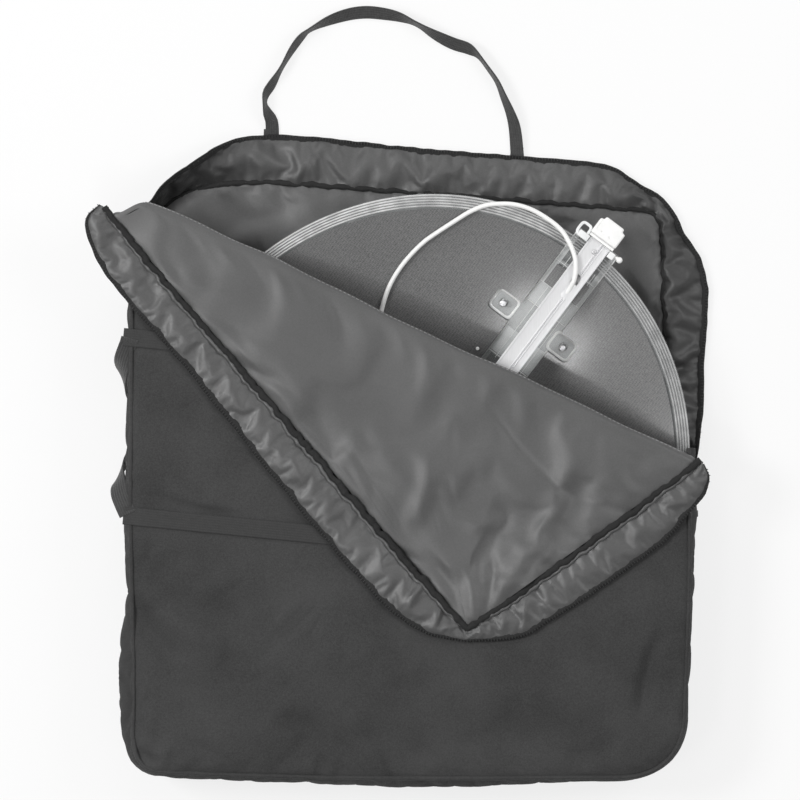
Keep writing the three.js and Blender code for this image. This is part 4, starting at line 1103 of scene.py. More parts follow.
back_gathers = puckers(21, 120, SEAM_LENGTH, size=(6, 16), height=(0.6, 2.2), slant=8)
BACK_FOLDS = [
    (-330, 330, -210, 300, 20, 2.2), (-300, 372, -190, 330, 12, -1.8), (-250, 270, -120, 330, 26, 1.6),
    (240, 330, 330, 250, 14, 2.0), (280, 350, 335, 180, 10, -1.8), (300, 180, 345, 40, 14, 1.6),
]


def dish_share(x, y):
    """How far out over the dish a point lies: 1 at the dish's edge."""
    return np.hypot((x - DISH_MIDDLE[0]) / DISH_HALF_WIDTH, (y - DISH_MIDDLE[1]) / DISH_HALF_LENGTH)


def back_height(x, y, edge, s):
    room = np.clip((dish_share(x, y) - 0.25) * 22, 0, 5)
    soft = 1.2 * np.sin(x / 61 + 1.3) * np.cos(y / 53) + 0.8 * np.sin((x + y) / 29)
    gather = back_gathers(s * SEAM_LENGTH, np.clip(edge / 60, 0, 1)) * np.exp(-edge / 26)
    height = room * (0.7 + 0.3 * soft) + ridges(x, y, BACK_FOLDS) + gather - 2.5 * np.exp(-edge / 5)
    return 8.2 + np.clip(height, -3, 6)


back_outline = outline_of(lambda s: 1.5 * openness(s) - 0.5)
back_pad = pad("back_pad", back_outline, back_height)
at = places(back_pad)
under_dish = 1 - ease(dish_share(at[:, 0], at[:, 1]), 0.72, 0.84)
hold = np.maximum(1 - ease(distance_to(at, back_outline), 2, 12), under_dish)
settle_cloth(back_pad, np.maximum(hold, 0.02), grow=0.03, bend=14.0, cap=3.5, jitter=0.15)
sewn_piece(back_pad, 7.0, "bag", "outer_fabric", lining_flat, outer_cloth, stands_for=["back_panel"],
           fill=0.5)

front_outline = outline_of(lambda s: wall_out(FRONT_TOP, s) + 3.0, 900)
fa, fb = to_fold(front_outline[:, 0], front_outline[:, 1])
keep = fb < fold_bow(fa) - 14
start = int(np.argmax(keep & ~np.roll(keep, 1)))
order = np.roll(np.arange(len(keep)), -start)
front_outline = front_outline[order][keep[order]]
FRONT_FOLDS = [
    (367, -286, 330, -410, 14, 12.0), (346, -236, 318, -365, 11, -11.0), (330, -262, 352, -300, 7, 3.0),
    (-384, -160, -280, -262, 20, 8.0), (-392, -196, -325, -285, 14, -6.0), (-395, -14, -280, -52, 11, 7.0),
    (-384, -34, -240, -80, 9, -6.5), (-75, -362, 26, -424, 24, -8.0), (-120, -320, -40, -420, 24, 5.5),
    (-60, -300, 60, -380, 40, 2.4), (200, -300, 300, -420, 30, -2.6), (-330, -330, -200, -400, 34, 3.0),
    (120, -250, 250, -330, 36, 2.6), (-392, -402, -350, -424, 8, -6.0), (-368, -436, -340, -396, 9, 4.0),
    (-137, -448, -130, -412, 6, -4.0), (-31, -452, -38, -414, 6, -4.0), (-125, -446, -112, -410, 8, 3.0),
    (-396, 150, -300, 60, 16, 3.4), (-360, 90, -250, 20, 20, -3.0), (-250, -130, -160, -220, 30, 2.6),
    (-200, -60, -60, -120, 22, -2.4), (60, -330, 170, -420, 26, -2.2),
]
FRONT_RUN = 2600
front_gathers = puckers(33, 110, FRONT_RUN, size=(6, 20), height=(0.5, 2.0), slant=6)


def front_height(x, y, edge, s=None):
    """Height of the front. Its gathers are left out where s, the place round its outline, isn't given."""
    soft = 1.1 * np.sin(x / 83 + 0.4) * np.cos(y / 71) + 0.7 * np.sin((x - 1.7 * y) / 47)
    _, b = to_fold(x, y)
    top = FRONT_TOP - 4.0 * np.exp(-edge / 7) + 1.2 * (1 - np.exp(-edge / 60)) + soft
    if s is not None:
        top = top + front_gathers(s * FRONT_RUN, np.clip(edge / 60, 0, 1)) * np.exp(-edge / 20)
    top = top + ridges(x, y, FRONT_FOLDS)
    under_flap = ease(b, -420, -360)
    return np.where(under_flap > 0, np.minimum(top, FRONT_TOP + 4 * (1 - under_flap)), top)


front_pad = pad("front_pad", front_outline, front_height)
at = places(front_pad)
_, below_fold = to_fold(at[:, 0], at[:, 1])
hold = np.maximum(1 - ease(distance_to(at, front_outline), 2, 14), ease(below_fold, -420, -380))
STRAP_FOOT = -405
STRAP_SLOPE = 0.098
for y in STRAP_LEVELS.values():
    strap_middle = y - STRAP_SLOPE * (at[:, 0] - STRAP_FOOT)
    hold = np.maximum(hold, (np.abs(at[:, 1] - strap_middle) < 16) * (at[:, 0] < -100))
settle_cloth(front_pad, np.maximum(hold, 0.03), grow=0.014, bend=16.0, cap=2.5, jitter=0.15)
sewn_piece(front_pad, 6.5, "bag", "outer_fabric", outer_cloth, lining_flat, stands_for=["front_panel"],
           fill=0.5)


# ---- folded corner ----

FLAP_LEFT = (4.0, -2.0)
FLAP_RIGHT = (905.0, -2.0)
FLAP_APEX = (698.0, -345.0)
ROLL_MIDDLE = -8.5
ROLL_RADIUS = 9.3
ROLL_ROWS = (0.05, 0.22)
FLAP_FOLDS = [
    (92, -219, 226, 6, 17, 7.0), (64, -178, 130, -50, 17, -6.0), (-4, -95, 22, 0, 14, 5.0),
    (40, -150, 106, -60, 15, 4.5), (110, -235, 190, -120, 10, 4.5), (106, 62, 221, -50, 5, -2.2),
    (-110, -5, -74, 32, 12, 4.0), (-240, 190, -120, 60, 34, 4.0), (-150, 180, 20, 20, 40, -3.5),
    (-360, 306, -318, 244, 9, -3.4), (-372, 318, -300, 230, 15, 3.0), (0, 30, 90, -60, 26, 3.5),
    (-30, -60, 40, -190, 22, -4.5), (190, 40, 290, -40, 24, 3.0), (150, -80, 250, -30, 20, -3.0),
    (84, -225, 60, -110, 9, 4.0), (96, -222, 110, -130, 8, -3.5), (70, -225, 20, -130, 10, -4.0),
    (150, -190, 260, -90, 15, 4.0), (175, -185, 300, -110, 13, -3.5), (-60, 60, 10, -70, 18, 3.0),
    (-150, 90, -90, -10, 16, -3.0), (-200, 110, -160, 60, 14, 2.4), (50, 90, 10, 10, 22, -2.6),
    (120, 40, 70, -60, 20, 2.6), (260, 20, 330, -80, 18, 2.4), (-290, 236, -230, 190, 15, 2.4),
]


def over_head(a, b):
    """Near 1 where the closed corner lies on the feed head and the lead, so its folds stay low there."""
    head = np.exp(-((a - 652) / 36) ** 4 - ((b + 243) / 34) ** 4)
    lead = np.exp(-((a - 640) / 26) ** 4 - ((b + 176) / 34) ** 4)
    return np.maximum(head, lead)


flap_gathers = puckers(41, 90, 1500, size=(8, 20), height=(0.8, 3.2), slant=10)


def flap_place(s, t):
    """The folded corner: its lip under the fold, the roll of the fold, and the way down to its apex."""
    lip, roll = ROLL_ROWS
    turn = np.clip((t - lip) / (roll - lip), 0, 1) * np.pi - np.pi / 2
    down = np.clip((t - roll) / (1 - roll), 0, 1)
    y = between(ROLL_MIDDLE, FLAP_APEX[1] + 2, down)
    y = np.where(t < roll, ROLL_MIDDLE + ROLL_RADIUS * np.cos(turn), y)
    y = np.where(t < lip, ROLL_MIDDLE - 2 + 2 * t / lip, y)
    z = FOLD_HEIGHT + ROLL_RADIUS * np.where(t < lip, -1, np.where(t < roll, np.sin(turn), 1))
    level = np.where(t < roll, ROLL_MIDDLE, y)
    share = np.clip((FLAP_LEFT[1] - level) / (FLAP_LEFT[1] - FLAP_APEX[1]), 0, 1)
    under = 1 - ease(t, lip, roll)
    left = between(FLAP_LEFT[0], FLAP_APEX[0], share) + 34 * under
    right = between(FLAP_RIGHT[0], FLAP_APEX[0], share) - 18 * under
    a = between(left, right, s)
    x, yy = from_fold(a, y)
    edge = np.minimum(a - left, right - a) * 0.55
    gather = flap_gathers(share * 600 + 900 * (s > 0.5), np.clip(edge / 50, 0, 1)) * np.exp(-edge / 22)
    puff = 1.6 * (1 - np.exp(-edge / 40)) - 3.6 * np.exp(-edge / 6) + gather
    soft = 0.9 * np.sin(x / 71 + 2) * np.cos(yy / 63) + 0.6 * np.sin((x + 2 * yy) / 41)
    wave = puff + (ridges(x, yy, FLAP_FOLDS) + soft) * ease(down, 0, 0.06)
    wave = wave - over_head(a, y) * np.maximum(wave - 0.4, 0)
    in_roll = (t >= lip) * (t < roll)
    roll_wave = (0.8 * np.sin(a / 47.0) + 0.6 * np.sin(a / 19.0 + 1)) * np.cos(turn) * in_roll
    bow = fold_bow(a) * (1 - ease(down, 0, 0.5)) * ease(a - left, 0, 30 + 110 * ease(down, 0, 0.12))
    x, yy = from_fold(a, y + roll_wave + bow)
    return x, yy, z + np.where(t < roll, puff * ease(t, lip, roll), wave)


flap_pad = loft("flap_pad", 240, 120, flap_place)
face_up(flap_pad)
along, down = grid_share(flap_pad)
at = places(flap_pad)
FLAP_CORNERS = [np.array(corner) for corner in (FLAP_LEFT, FLAP_APEX, FLAP_RIGHT)]
corners = [np.array(from_fold(*corner)) for corner in FLAP_CORNERS]
steps = np.linspace(0, 1, 240)[:, None]
flap_edges = np.vstack([between(corners[i], corners[i + 1], steps) for i in (0, 1)])
hold = np.maximum(1 - ease(distance_to(at, flap_edges), 3, 16), 1 - ease(down, 0.22, 0.27))
hold = np.maximum(hold, 0.8 * over_head(*to_fold(at[:, 0], at[:, 1])))
settle_cloth(flap_pad, np.maximum(hold, 0.03), grow=0.016, bend=26.0, cap=3.5, jitter=0.15, even=9)
thicken(flap_pad, 6.8, lined=True)
smooth(flap_pad, 60)
dress(flap_pad, lining_flat, outer_cloth)
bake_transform(flap_pad)
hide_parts("flap_panel")

LONG_REACH = [
    (-0.01, 0.05), (-0.008, 0.42), (0.013, 0.69), (0.07, 0.93), (0.16, 1.02), (0.297, 0.99), (0.639, 1.13),
    (0.859, 1.1), (0.949, 0.85), (1.013, 0.27),
]
SHORT_REACH = [
    (-0.038, 0.19), (0.099, 0.77), (0.231, 0.98), (0.676, 1.06), (0.894, 0.8), (0.965, 0.6), (0.993, 0.4),
    (0.998, 0.15),
]


STRIP_WIDTH = 60
STRIP_HEIGHT = 127.3


def free_edge(start, end, reach):
    """The strip's free edge beside one side of the flap, and its run."""
    along = end - start
    out = np.array((along[1], -along[0])) / np.linalg.norm(along) * STRIP_WIDTH
    line = through([start + along * far + out * wide for far, wide in reach], 24)
    return line, run_of(line)


long_line, long_far = free_edge(FLAP_CORNERS[0], FLAP_CORNERS[1], LONG_REACH)
short_line, short_far = free_edge(FLAP_CORNERS[1], FLAP_CORNERS[2], SHORT_REACH)
LONG_SHARE = 0.66
BAND_LENGTH = 1180.0


def flap_strip(s, share):
    """Point of the strip beside the flap: s runs round it, share runs from the seam to the free edge."""
    left, apex, right = FLAP_CORNERS
    first = (s < LONG_SHARE)[:, None]
    k = np.where(s < LONG_SHARE, s / LONG_SHARE, (s - LONG_SHARE) / (1 - LONG_SHARE))
    seam = np.where(first, between(left, apex, k[:, None]), between(apex, right, k[:, None]))
    edge = np.where(first, points_at(k * long_far[-1], long_far, long_line),
                    points_at(k * short_far[-1], short_far, short_line))
    far = s * BAND_LENGTH
    share = share + (1 - share) * 0.018 * flap_seam_waver(far) + 0.012 * flap_edge_waver(far)
    return between(seam, edge, share[:, None]).T


flap_folds = puckers(14, 52, BAND_LENGTH, size=(7, 26), height=(0.8, 3.4), slant=44, both_ways=0.5)
apex_folds = puckers(15, 34, 260, size=(4, 9), height=(1.5, 4.5), slant=14, both_ways=0.5)
flap_seam_waver = waver(16)
flap_edge_waver = waver(17, 25, 110)


def flap_band_place(s, t):
    a, b = flap_strip(s, 0.13 + 0.81 * t)
    puff = 3.0 * np.sin(np.pi * np.clip(t, 0, 1)) ** 0.7
    far = s * BAND_LENGTH
    fold = flap_folds(far, t) + apex_folds(far - (LONG_SHARE * BAND_LENGTH - 130), t)
    x, y = from_fold(a, b)
    return x, y, STRIP_HEIGHT + puff + fold * (0.25 + 0.75 * np.sin(np.pi * t)) - 0.8 * t


flap_band = loft("flap_band", 640, 18, flap_band_place, (BAND_LENGTH, 50))
face_up(flap_band)
along, across = grid_share(flap_band)
hold = np.maximum(near_ends(across, 0.08), near_ends(along, 0.01))
settle_cloth(flap_band, np.maximum(hold, 0.02), grow=0.03, press=0.25, bend=18.0, cap=3.4, jitter=0.12)
sewn_piece(flap_band, 3.4, "flap", "lining", lining_strip, wall_cloth,
           stands_for=["flap_wall_long", "flap_wall_short"], fill=0.4)


def strip_line(share, z, count=620, wander=0.0):
    s = np.linspace(0, 1, count)
    a, b = flap_strip(s, share + wander * seam_wander(s * BAND_LENGTH))
    x, y = from_fold(a, b)
    return np.stack([x, y, np.full_like(x, z)], 1)


seam_wander = waver(18, 9, 40)
binding_line = strip_line(0.065, 129.6, wander=0.008)
flap_binding = tube("flap_seam_binding", binding_line, 4.5, 3, radii=lumpy(len(binding_line), 8, 0.22))
finish_piece(flap_binding, "flap", "zip", binding_cloth, stands_for=["flap_piping_long", "flap_piping_short"])
ridge_line = strip_line(0.155, 129.3, wander=0.007)
flap_ridge = tube("flap_seam_ridge", ridge_line, 2.6, 2, radii=lumpy(len(ridge_line), 10, 0.3))
finish_piece(flap_ridge, "flap", "lining", lining_flat)


def flap_tape_place(s, t):
    a, b = flap_strip(s, 0.88 + 0.15 * t)
    x, y = from_fold(a, b)
    return x, y, 126.4 + 1.6 * np.sin(np.pi * t) - 1.0 * t + 0.4 * np.sin(s * 190)


flap_tape = loft("flap_zip_tape", 520, 4, flap_tape_place, (BAND_LENGTH, 9))
face_up(flap_tape)
thicken(flap_tape, 1.6)
smooth(flap_tape, 60)
finish_piece(flap_tape, "flap", "zip", tape_cloth, stands_for=["flap_zip_tape_long", "flap_zip_tape_short"])
edge_line = strip_line(0.99, 127.2, 900)
flap_teeth = zip_teeth("flap_zip_teeth", edge_line, np.tile(UPRIGHT, (len(edge_line), 1)))
finish_piece(flap_teeth, "flap", "zip", coil_plastic)


STITCH_LENGTH = 4.2
STITCH_PITCH = 6.6


def stitches(name, line):
    """A row of short stitches along a line, as one mesh."""
    far = run_of(line)
    curve = new_curve(name, 0.5, 1)
    for start in np.arange(0, far[-1] - STITCH_PITCH, STITCH_PITCH):
        spots = points_at(np.linspace(start, start + STITCH_LENGTH, 4), far, line)
        row = curve.splines.new("POLY")
        row.points.add(3)
        for point, (x, y, z), lift in zip(row.points, spots, (-0.3, 0.25, 0.25, -0.3)):
            point.co = (x * MM, y * MM, (z + lift) * MM, 1)
    return curve_mesh(name, curve)


run = np.linspace(0.012, 0.985, 500)
sx, sy, sz = flap_place(run, np.full_like(run, 0.165))
fold_stitches = stitches("fold_edge_stitches", np.stack([sx, sy, sz], 1))
dress(fold_stitches, thread)
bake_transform(fold_stitches)


# ---- webbing ----

def strap(name, line, tilt, width=WEBBING_WIDTH, thick=2.2):
    """Flat band along a line, turned by tilt about its own run."""
    far = run_of(line)
    ahead = unit(np.gradient(line, axis=0))
    flat = np.cross(np.tile(UPRIGHT, (len(line), 1)), ahead)
    flat /= np.maximum(np.linalg.norm(flat, axis=1), 1e-6)[:, None]
    rise = np.cross(ahead, flat)
    side = flat * np.cos(tilt)[:, None] + rise * np.sin(tilt)[:, None]

    def place(s, t):
        at = s * far[-1]
        return (points_at(at, far, line) + points_at(at, far, side) * ((t - 0.5) * width)[:, None]).T
    obj = loft(name, max(8, int(far[-1] / 5)), 6, place, (far[-1], width))
    add_wall(obj, thick, 0)
    apply_modifiers(obj)
    bevel(obj, 0.5 * MM, 2, 60)
    smooth(obj, 50)
    return obj


HANDLE_LINE = [
    (-199, 455), (-200, 475), (-206, 488), (-209.5, 501), (-208, 514), (-200, 527), (-187, 549),
    (-172, 575), (-158, 594), (-146, 604), (-120, 617), (-92, 626), (-68, 629), (-44, 627), (-20, 622),
    (4, 612), (30, 597), (55, 585), (76, 578), (90, 568), (104, 550), (117, 531), (126, 510), (136, 486),
    (142, 464), (145.5, 426),
]
HANDLE_TILT = [
    10, 20, 50, 84, 60, 50, 84, 64, 62, 86, 50, 30, 24, 30, 50, 84, 50, 28, 34, 80, 78, 76, 66, 52, 30, 12,
]
handle_xy = through(HANDLE_LINE, 8)
tilts = np.interp(np.linspace(0, 25, len(handle_xy)), range(26), HANDLE_TILT)
tilts = np.radians(np.convolve(np.pad(tilts, 4, "edge"), np.ones(9) / 9, "valid"))
HANDLE_WIDTH = 19.0
handle_z = 1.6 + np.abs(np.sin(tilts)) * HANDLE_WIDTH / 2
top_handle = strap("top_handle_webbing", np.column_stack([handle_xy, handle_z]), tilts, HANDLE_WIDTH)
finish_piece(top_handle, "top_handle_band", "webbing", webbing, stands_for=["top_handle"])

for side, foot in (("left", -204.5), ("right", 139.5)):
    station = station_near(foot, 402 - (foot + 366) * 54 / 712)
    x, y, _, _ = seam_at(station, np.linspace(44, 76, 12))
    line = np.column_stack([x, y, np.full_like(x, 2.2)])
    tab = strap("handle_tab_webbing_" + side, line, np.zeros(len(line)), 18.0, 2.4)
    finish_piece(tab, "bag", "webbing", webbing, stands_for=["handle_tab_" + side])


def leg_line(y):
    """Line of a side strap, from its foot on the bag's edge over the front."""
    turn = math.radians(-5.6)
    k = np.linspace(0, STRAP_LENGTH, 40)
    x = -405.5 + k * math.cos(turn)
    yy = y + k * math.sin(turn)
    edge = np.clip(x + 392, 0, 80)
    z = front_height(x, yy, edge) + 1.6
    z = np.where(x < -386, 119.6 + 1.2 * ease(x, -406, -386), z)
    return np.stack([x, yy, np.minimum(z, 122.6)], 1)


for side, y in STRAP_LEVELS.items():
    line = leg_line(y)
    leg = strap("side_leg_webbing_" + side, line, np.zeros(len(line)))
    finish_piece(leg, "bag", "webbing", leg_webbing, stands_for=["side_handle_leg_" + side])

SIDE_LINE = [
    (-396, 170, 121.5), (-398, 163, 119), (-402, 153, 112), (-407, 139, 98), (-409, 124, 78),
    (-406, 108, 55), (-401, 94, 34), (-394, 76, 20), (-391, 52, 15), (-392, 28, 17), (-397, 8, 28),
    (-405, -4, 44), (-411, -17, 64), (-413, -31, 84), (-411, -47, 101), (-405, -62, 115),
    (-399, -75, 121.5),
]
side_line = through(SIDE_LINE, 8)
side_far = run_of(side_line)


def side_place(s, t):
    at = s * side_far[-1]
    middle, after, before = (points_at(at + reach, side_far, side_line) for reach in (0, 2, -2))
    ahead = unit(after - before)
    ends = 1 - ease(np.minimum(s, 1 - s), 0.02, 0.4)
    face = np.stack([-np.ones_like(s) * (1 - ends), np.zeros_like(s), ends], 1)
    across = unit(np.cross(face, ahead))
    return (middle + across * ((t - 0.5) * WEBBING_WIDTH)[:, None]).T


side_handle = loft("side_handle_webbing", 110, 6, side_place, (470, WEBBING_WIDTH))
add_wall(side_handle, 2.4, 0)
apply_modifiers(side_handle)
smooth(side_handle, 50)
finish_piece(side_handle, "side_handle_band", "webbing", webbing, stands_for=["side_handle"])


# ---- zip sliders and pulls ----

for side, sign, x, y in (("right", 1, 394.2, -75), ("left", -1, 406.0, 296)):
    body = block(4.0, 16, 8.0)
    inset_faces(body, lambda n: abs(n.y) > 0.9, 1.4)
    bevel(body, 1.0, 3)
    bridge = block(2.0, 9, 3.0, (sign * 2.6, 0, 0))
    bevel(bridge, 0.7, 2)
    body = join_all("slider", [body, bridge])
    hard_piece(body, "zip_slider_body_" + side, Matrix.Translation((sign * x, y, ZIP_MIDDLE)),
               side + "_slider", "zip_metal", slider_metal, ["zip_slider_" + side])
    pull = block(1.8, 7, 30, (0, 0, -15))
    cut(pull, block(6, 3.5, 7, (0, 0, -23)))
    bevel(pull, 0.6, 2)
    hard_piece(pull, "zip_pull_tab_" + side, Matrix.Translation((sign * x, y, PULL_PIVOT)),
               side + "_pull", "zip_metal", slider_metal, ["zip_pull_" + side])


# ---- dish: clear bowl, wire cloth and ribbed rim ----

def bowl(share):
    return DISH_DEPTH * min(share, FLANGE_START) ** 2


def bowl_shell(name, shares, under, over):
    """A shell along the bowl, from under to over in millimetres above the bowl's own underside."""
    profile = [(r * DISH_HALF_WIDTH, DISH_FLOOR + under + bowl(r)) for r in shares]
    profile += [(r * DISH_HALF_WIDTH, DISH_FLOOR + over + bowl(r)) for r in reversed(shares)]
    return turned(name, profile, 128)


shares = [FLANGE_START * i / 22 for i in range(23)] + [0.965, 0.985, 1.0]
dish = bowl_shell("dish_bowl", shares, 0, 3)
hard_piece(dish, "dish_bowl", dish_place, "dish", "clear_plastic", clear_film, ["reflector"])

shares = [FLANGE_START * 0.99 * i / 24 for i in range(25)]
wire = bowl_shell("wire_mesh_cloth", shares, 3.3, 4.0)
hard_piece(wire, "wire_mesh_cloth", dish_place, "dish", "wire_mesh", wire_cloth, ["wire_mesh"])

rim_in = FLANGE_START * DISH_HALF_WIDTH - 1.0
rim_out = DISH_HALF_WIDTH + 0.5
rim_foot = DISH_FLOOR + 3.2 + bowl(1)
pitch = (rim_out - rim_in) / RIM_RIBS
crest = []
for i in range(RIM_RIBS):
    for k in range(6):
        crest.append((rim_in + (i + k / 6) * pitch, rim_foot + 1.0 + 3.0 * math.sin(math.pi * k / 6)))
crest.append((rim_out, rim_foot + 0.8))
rim = turned("dish_rim", crest + [(rim_out, rim_foot), (rim_in, rim_foot)], 180)
layer = rim.data.uv_layers.new(name="UVMap")
for loop in rim.data.loops:
    v = rim.data.vertices[loop.vertex_index].co
    r = math.hypot(v.x, v.y / STRETCH)
    a = math.atan2(v.y / STRETCH, v.x)
    layer.data[loop.index].uv = (a / (2 * math.pi), (r - rim_in) / (rim_out - rim_in) - 0.05)
hard_piece(rim, "dish_rim", dish_place, "dish", "clear_plastic", clear_rim, ["rim"])


# ---- bracket on the bowl ----

def along_bracket(reach):
    """From how far out along the arm to how far along the sloped frame."""
    return (reach - touch_reach) / math.cos(touch_slope)


def rounded_plate(wide, deep, high, at, corner):
    """Flat plate with round corners."""
    w, d = wide / 2, deep / 2
    outline = round_corners([(-w, -d, corner), (w, -d, corner), (w, d, corner), (-w, d, corner)], 7)
    ends = [[(x + at[0], y + at[1], at[2] + up) for x, y in outline] for up in (-high / 2, high / 2)]
    return prism("plate", *ends)


FRAME_START, FRAME_END = along_bracket(172.0), along_bracket(406.0)
frame_long, frame_middle = FRAME_END - FRAME_START, (FRAME_END + FRAME_START) / 2
TAB_AT = along_bracket(260.0)
FRAME_ASIDE = 3.5
frame_plate = block(69, frame_long, 6, (FRAME_ASIDE, frame_middle, -3))
cloth_cut = block(70, frame_long - 12, 60, (FRAME_ASIDE, frame_middle - 6, 0))
for low, high in ((177, 194), (318, 350), (355, 391)):
    low, high = along_bracket(low), along_bracket(high)
    cut(frame_plate, block(56, high - low, 20, (FRAME_ASIDE, (low + high) / 2, -3)))
for side in (-1, 1):
    cut(frame_plate, rounded_plate(42, 33, 6, (side * 48.0, TAB_AT, -3), 9), how="UNION")
    cut(cloth_cut, rounded_plate(41, 34, 60, (side * 49.0, TAB_AT, 0), 9), how="UNION")
low, high = along_bracket(318), along_bracket(350)
cut(cloth_cut, block(56, high - low, 90, (FRAME_ASIDE, (low + high) / 2, 0)))
for side in (-1, 1):
    cut(frame_plate, round_bar(6.4, 30, (side * 52, TAB_AT, -3), 32))
bevel(frame_plate, 1.2, 2, 50)
lips = []
for side in (-1, 1):
    ring = rounded_plate(38.5, 34, 2.2, (side * 50.2, TAB_AT, 0.5), 9)
    cut(ring, rounded_plate(31.0, 26.5, 6, (side * 50.2, TAB_AT, 0.5), 6))
    lips.append(ring)
    for low, high in ((172, 243), (277, 406)):
        low, high = along_bracket(low), along_bracket(high)
        lips.append(block(1.8, high - low, 2.2, (FRAME_ASIDE + side * 33.5, (low + high) / 2, 0.5)))
for x in (-15.5, 27.0):
    lips.append(block(0.9, frame_long - 60, 1.6, (x, frame_middle - 10, 0.4)))
for reach in (196, 284, 316.5, 352.5):
    lips.append(block(67, 0.9, 1.6, (FRAME_ASIDE, along_bracket(reach), 0.4)))
for lip in lips:
    bevel(lip, 0.35, 2)
# The pale plate from 198 to 238 is a painted glow of the lamp's light on the plastic; the plate from 285 to
# 316 and the side strips are frosted plastic.
frosting_and_glow = []
for low, high in ((285, 316), (198, 238)):
    long = along_bracket(high) - along_bracket(low)
    frosting_and_glow.append(block(65, long, 0.5, (FRAME_ASIDE, along_bracket((low + high) / 2), 0.3)))
STRIP_START, STRIP_END = along_bracket(317), along_bracket(404)
for side in (-1, 1):
    at = (FRAME_ASIDE + side * 29.4, along_bracket(360.5), 0.3)
    frosting_and_glow.append(block(6.4, STRIP_END - STRIP_START, 0.5, at))
hard_piece(frame_plate, "bracket_frame", bracket_place, "dish", "clear_plastic", clear_mould, ["bracket"])
for name, parts, material in (("bracket_lips", lips, white_mould), ("bracket_frosting_and_glow", frosting_and_glow, frosted_and_glow)):
    hard_piece(join_all(name, parts), name, bracket_place, "dish", "clear_plastic", material)
settle(cloth_cut, "cloth_cut", bracket_place)
cut(wire, cloth_cut)

rivet = round_bar(2.6, 2.2, (-35.6, 186, 33.2), 20)
bevel(rivet, 0.8, 3)
hard_piece(rivet, "bowl_rivet", dish_place, "dish", "white_plastic", white_mould)

SCREW_SEAT = 2 + 1.51 + 3 + 1.4
for side, name in ((-1, "left"), (1, "right")):
    head = round_bar(4.8, 3.0, (0, 0, 1.5), 32)
    inset_faces(head, lambda n: n.z > 0.9, 1.3, 0.7)
    bevel(head, 0.35, 3, 20)
    cut(head, block(5.6, 1.2, 3, (0, 0, 3.6)), block(1.2, 5.6, 3, (0, 0, 3.6)))
    shank = round_bar(2.4, 18, (0, 0, -8.9), 24)
    screw = join_all("screw", [head, shank])
    screw_place = bracket_place @ Matrix.Translation((side * 52, TAB_AT, SCREW_SEAT))
    hard_piece(screw, "pan_screw_" + name, screw_place, "dish", "steel", steel, ["tab_screw_" + name])
    nut = round_bar(5.0, 4.0, (0, 0, 0), 6)
    cut(nut, round_bar(2.6, 10, (0, 0, 0), 24))
    bevel(nut, 0.4, 2)
    nut_place = bracket_place @ Matrix.Translation((side * 52, TAB_AT, -8.3))
    hard_piece(nut, "hex_nut_" + name, nut_place, "dish", "steel", steel, ["tab_nut_" + name])


# ---- cradle, arm and feed head ----

CRADLE_MIDDLE = DISH_HALF_LENGTH + 2 + 4.75
cradle = block(61, 9.5, 27, (ARM_SIDE - 3.5, CRADLE_MIDDLE, 94.5))
cut(cradle, block(34.8, 30, 60, (ARM_SIDE, CRADLE_MIDDLE, ARM_FOOT - 0.9 + 30)))
bevel(cradle, 1.2, 2)
loop_line = []
for k in range(33):
    turn = 2 * math.pi * k / 33
    x = math.copysign(abs(math.cos(turn)) ** 0.55, math.cos(turn)) * 7.6
    y = math.copysign(abs(math.sin(turn)) ** 0.55, math.sin(turn)) * 9.2
    loop_line.append((ARM_SIDE - 30 + x, 407.5 + y, 103.5))
eye = tube("eye", loop_line, 2.1, 3, closed=True)
eye.data.transform(Matrix.Scale(1 / MM, 4))
cradle = join_all("cradle", [cradle, eye])
hard_piece(cradle, "cradle_block", dish_place, "dish", "clear_plastic", clear_block, ["arm_cradle"])

clear_choice()
bpy.ops.mesh.primitive_uv_sphere_add(segments=24, ring_count=16, radius=4.5, location=(0, 0, 0))
ball = bpy.context.object
ball.data.transform(Matrix.Translation((ARM_SIDE + 35, CRADLE_MIDDLE + 2, 103)))
stem_turn = Matrix.Rotation(math.pi / 2, 4, "Y")
stem = round_bar(1.8, 7.5, (ARM_SIDE + 31.05, CRADLE_MIDDLE + 2, 103), 20, stem_turn)
cut(ball, stem, how="UNION")
hard_piece(ball, "cradle_knob_ball", dish_place, "dish", "white_plastic", white_mould, ["cradle_knob"])

ARM_INNER, ARM_OUTER = 7.0, 406.5
arm_middle = (ARM_INNER + ARM_OUTER) / 2
ARM_SECTION = [
    (-16.5, 0), (16.5, 0), (16.5, 14.6), (16.1, 15), (14.9, 15), (14.3, 13.8), (7.6, 13.6), (7.0, 14.9),
    (5.8, 14.9), (5.3, 12.4), (3.9, 12.4), (3.4, 14.9), (2.2, 14.9), (1.6, 13.6), (-13.2, 13.9),
    (-13.8, 14.9), (-16.1, 15), (-16.5, 14.6),
]
ends = [[(ARM_SIDE + x, y, ARM_FOOT + z) for x, z in ARM_SECTION] for y in (ARM_INNER, ARM_OUTER)]
arm = prism("arm", *ends)
bevel(arm, 0.25, 2, 25)
cut(arm, block(29, ARM_OUTER - ARM_INNER + 20, 9.6, (ARM_SIDE, arm_middle, ARM_FOOT + 6.8)))
slot_tool = block(11, 29, 10, (ARM_SIDE + 3, 333, ARM_TOP))
for end in (-14.5, 14.5):
    cut(slot_tool, round_bar(5.5, 10, (ARM_SIDE + 3, 333 + end, ARM_TOP), 32), how="UNION")
cut(arm, slot_tool)
cut(arm, round_bar(3.5, 8, (ARM_SIDE, ARM_OUTER - 15.5, ARM_TOP), 32))
hard_piece(arm, "arm_channel", dish_place, "arm", "aluminium", arm_metal, ["arm"], angle=20)

button = round_bar(3.2, 13.5, (ARM_SIDE, ARM_OUTER - 15.5, 97.3), 32)
bevel(button, 0.8, 3)
hard_piece(button, "snap_button_pin", dish_place, "arm", "steel", steel, ["snap_button"])

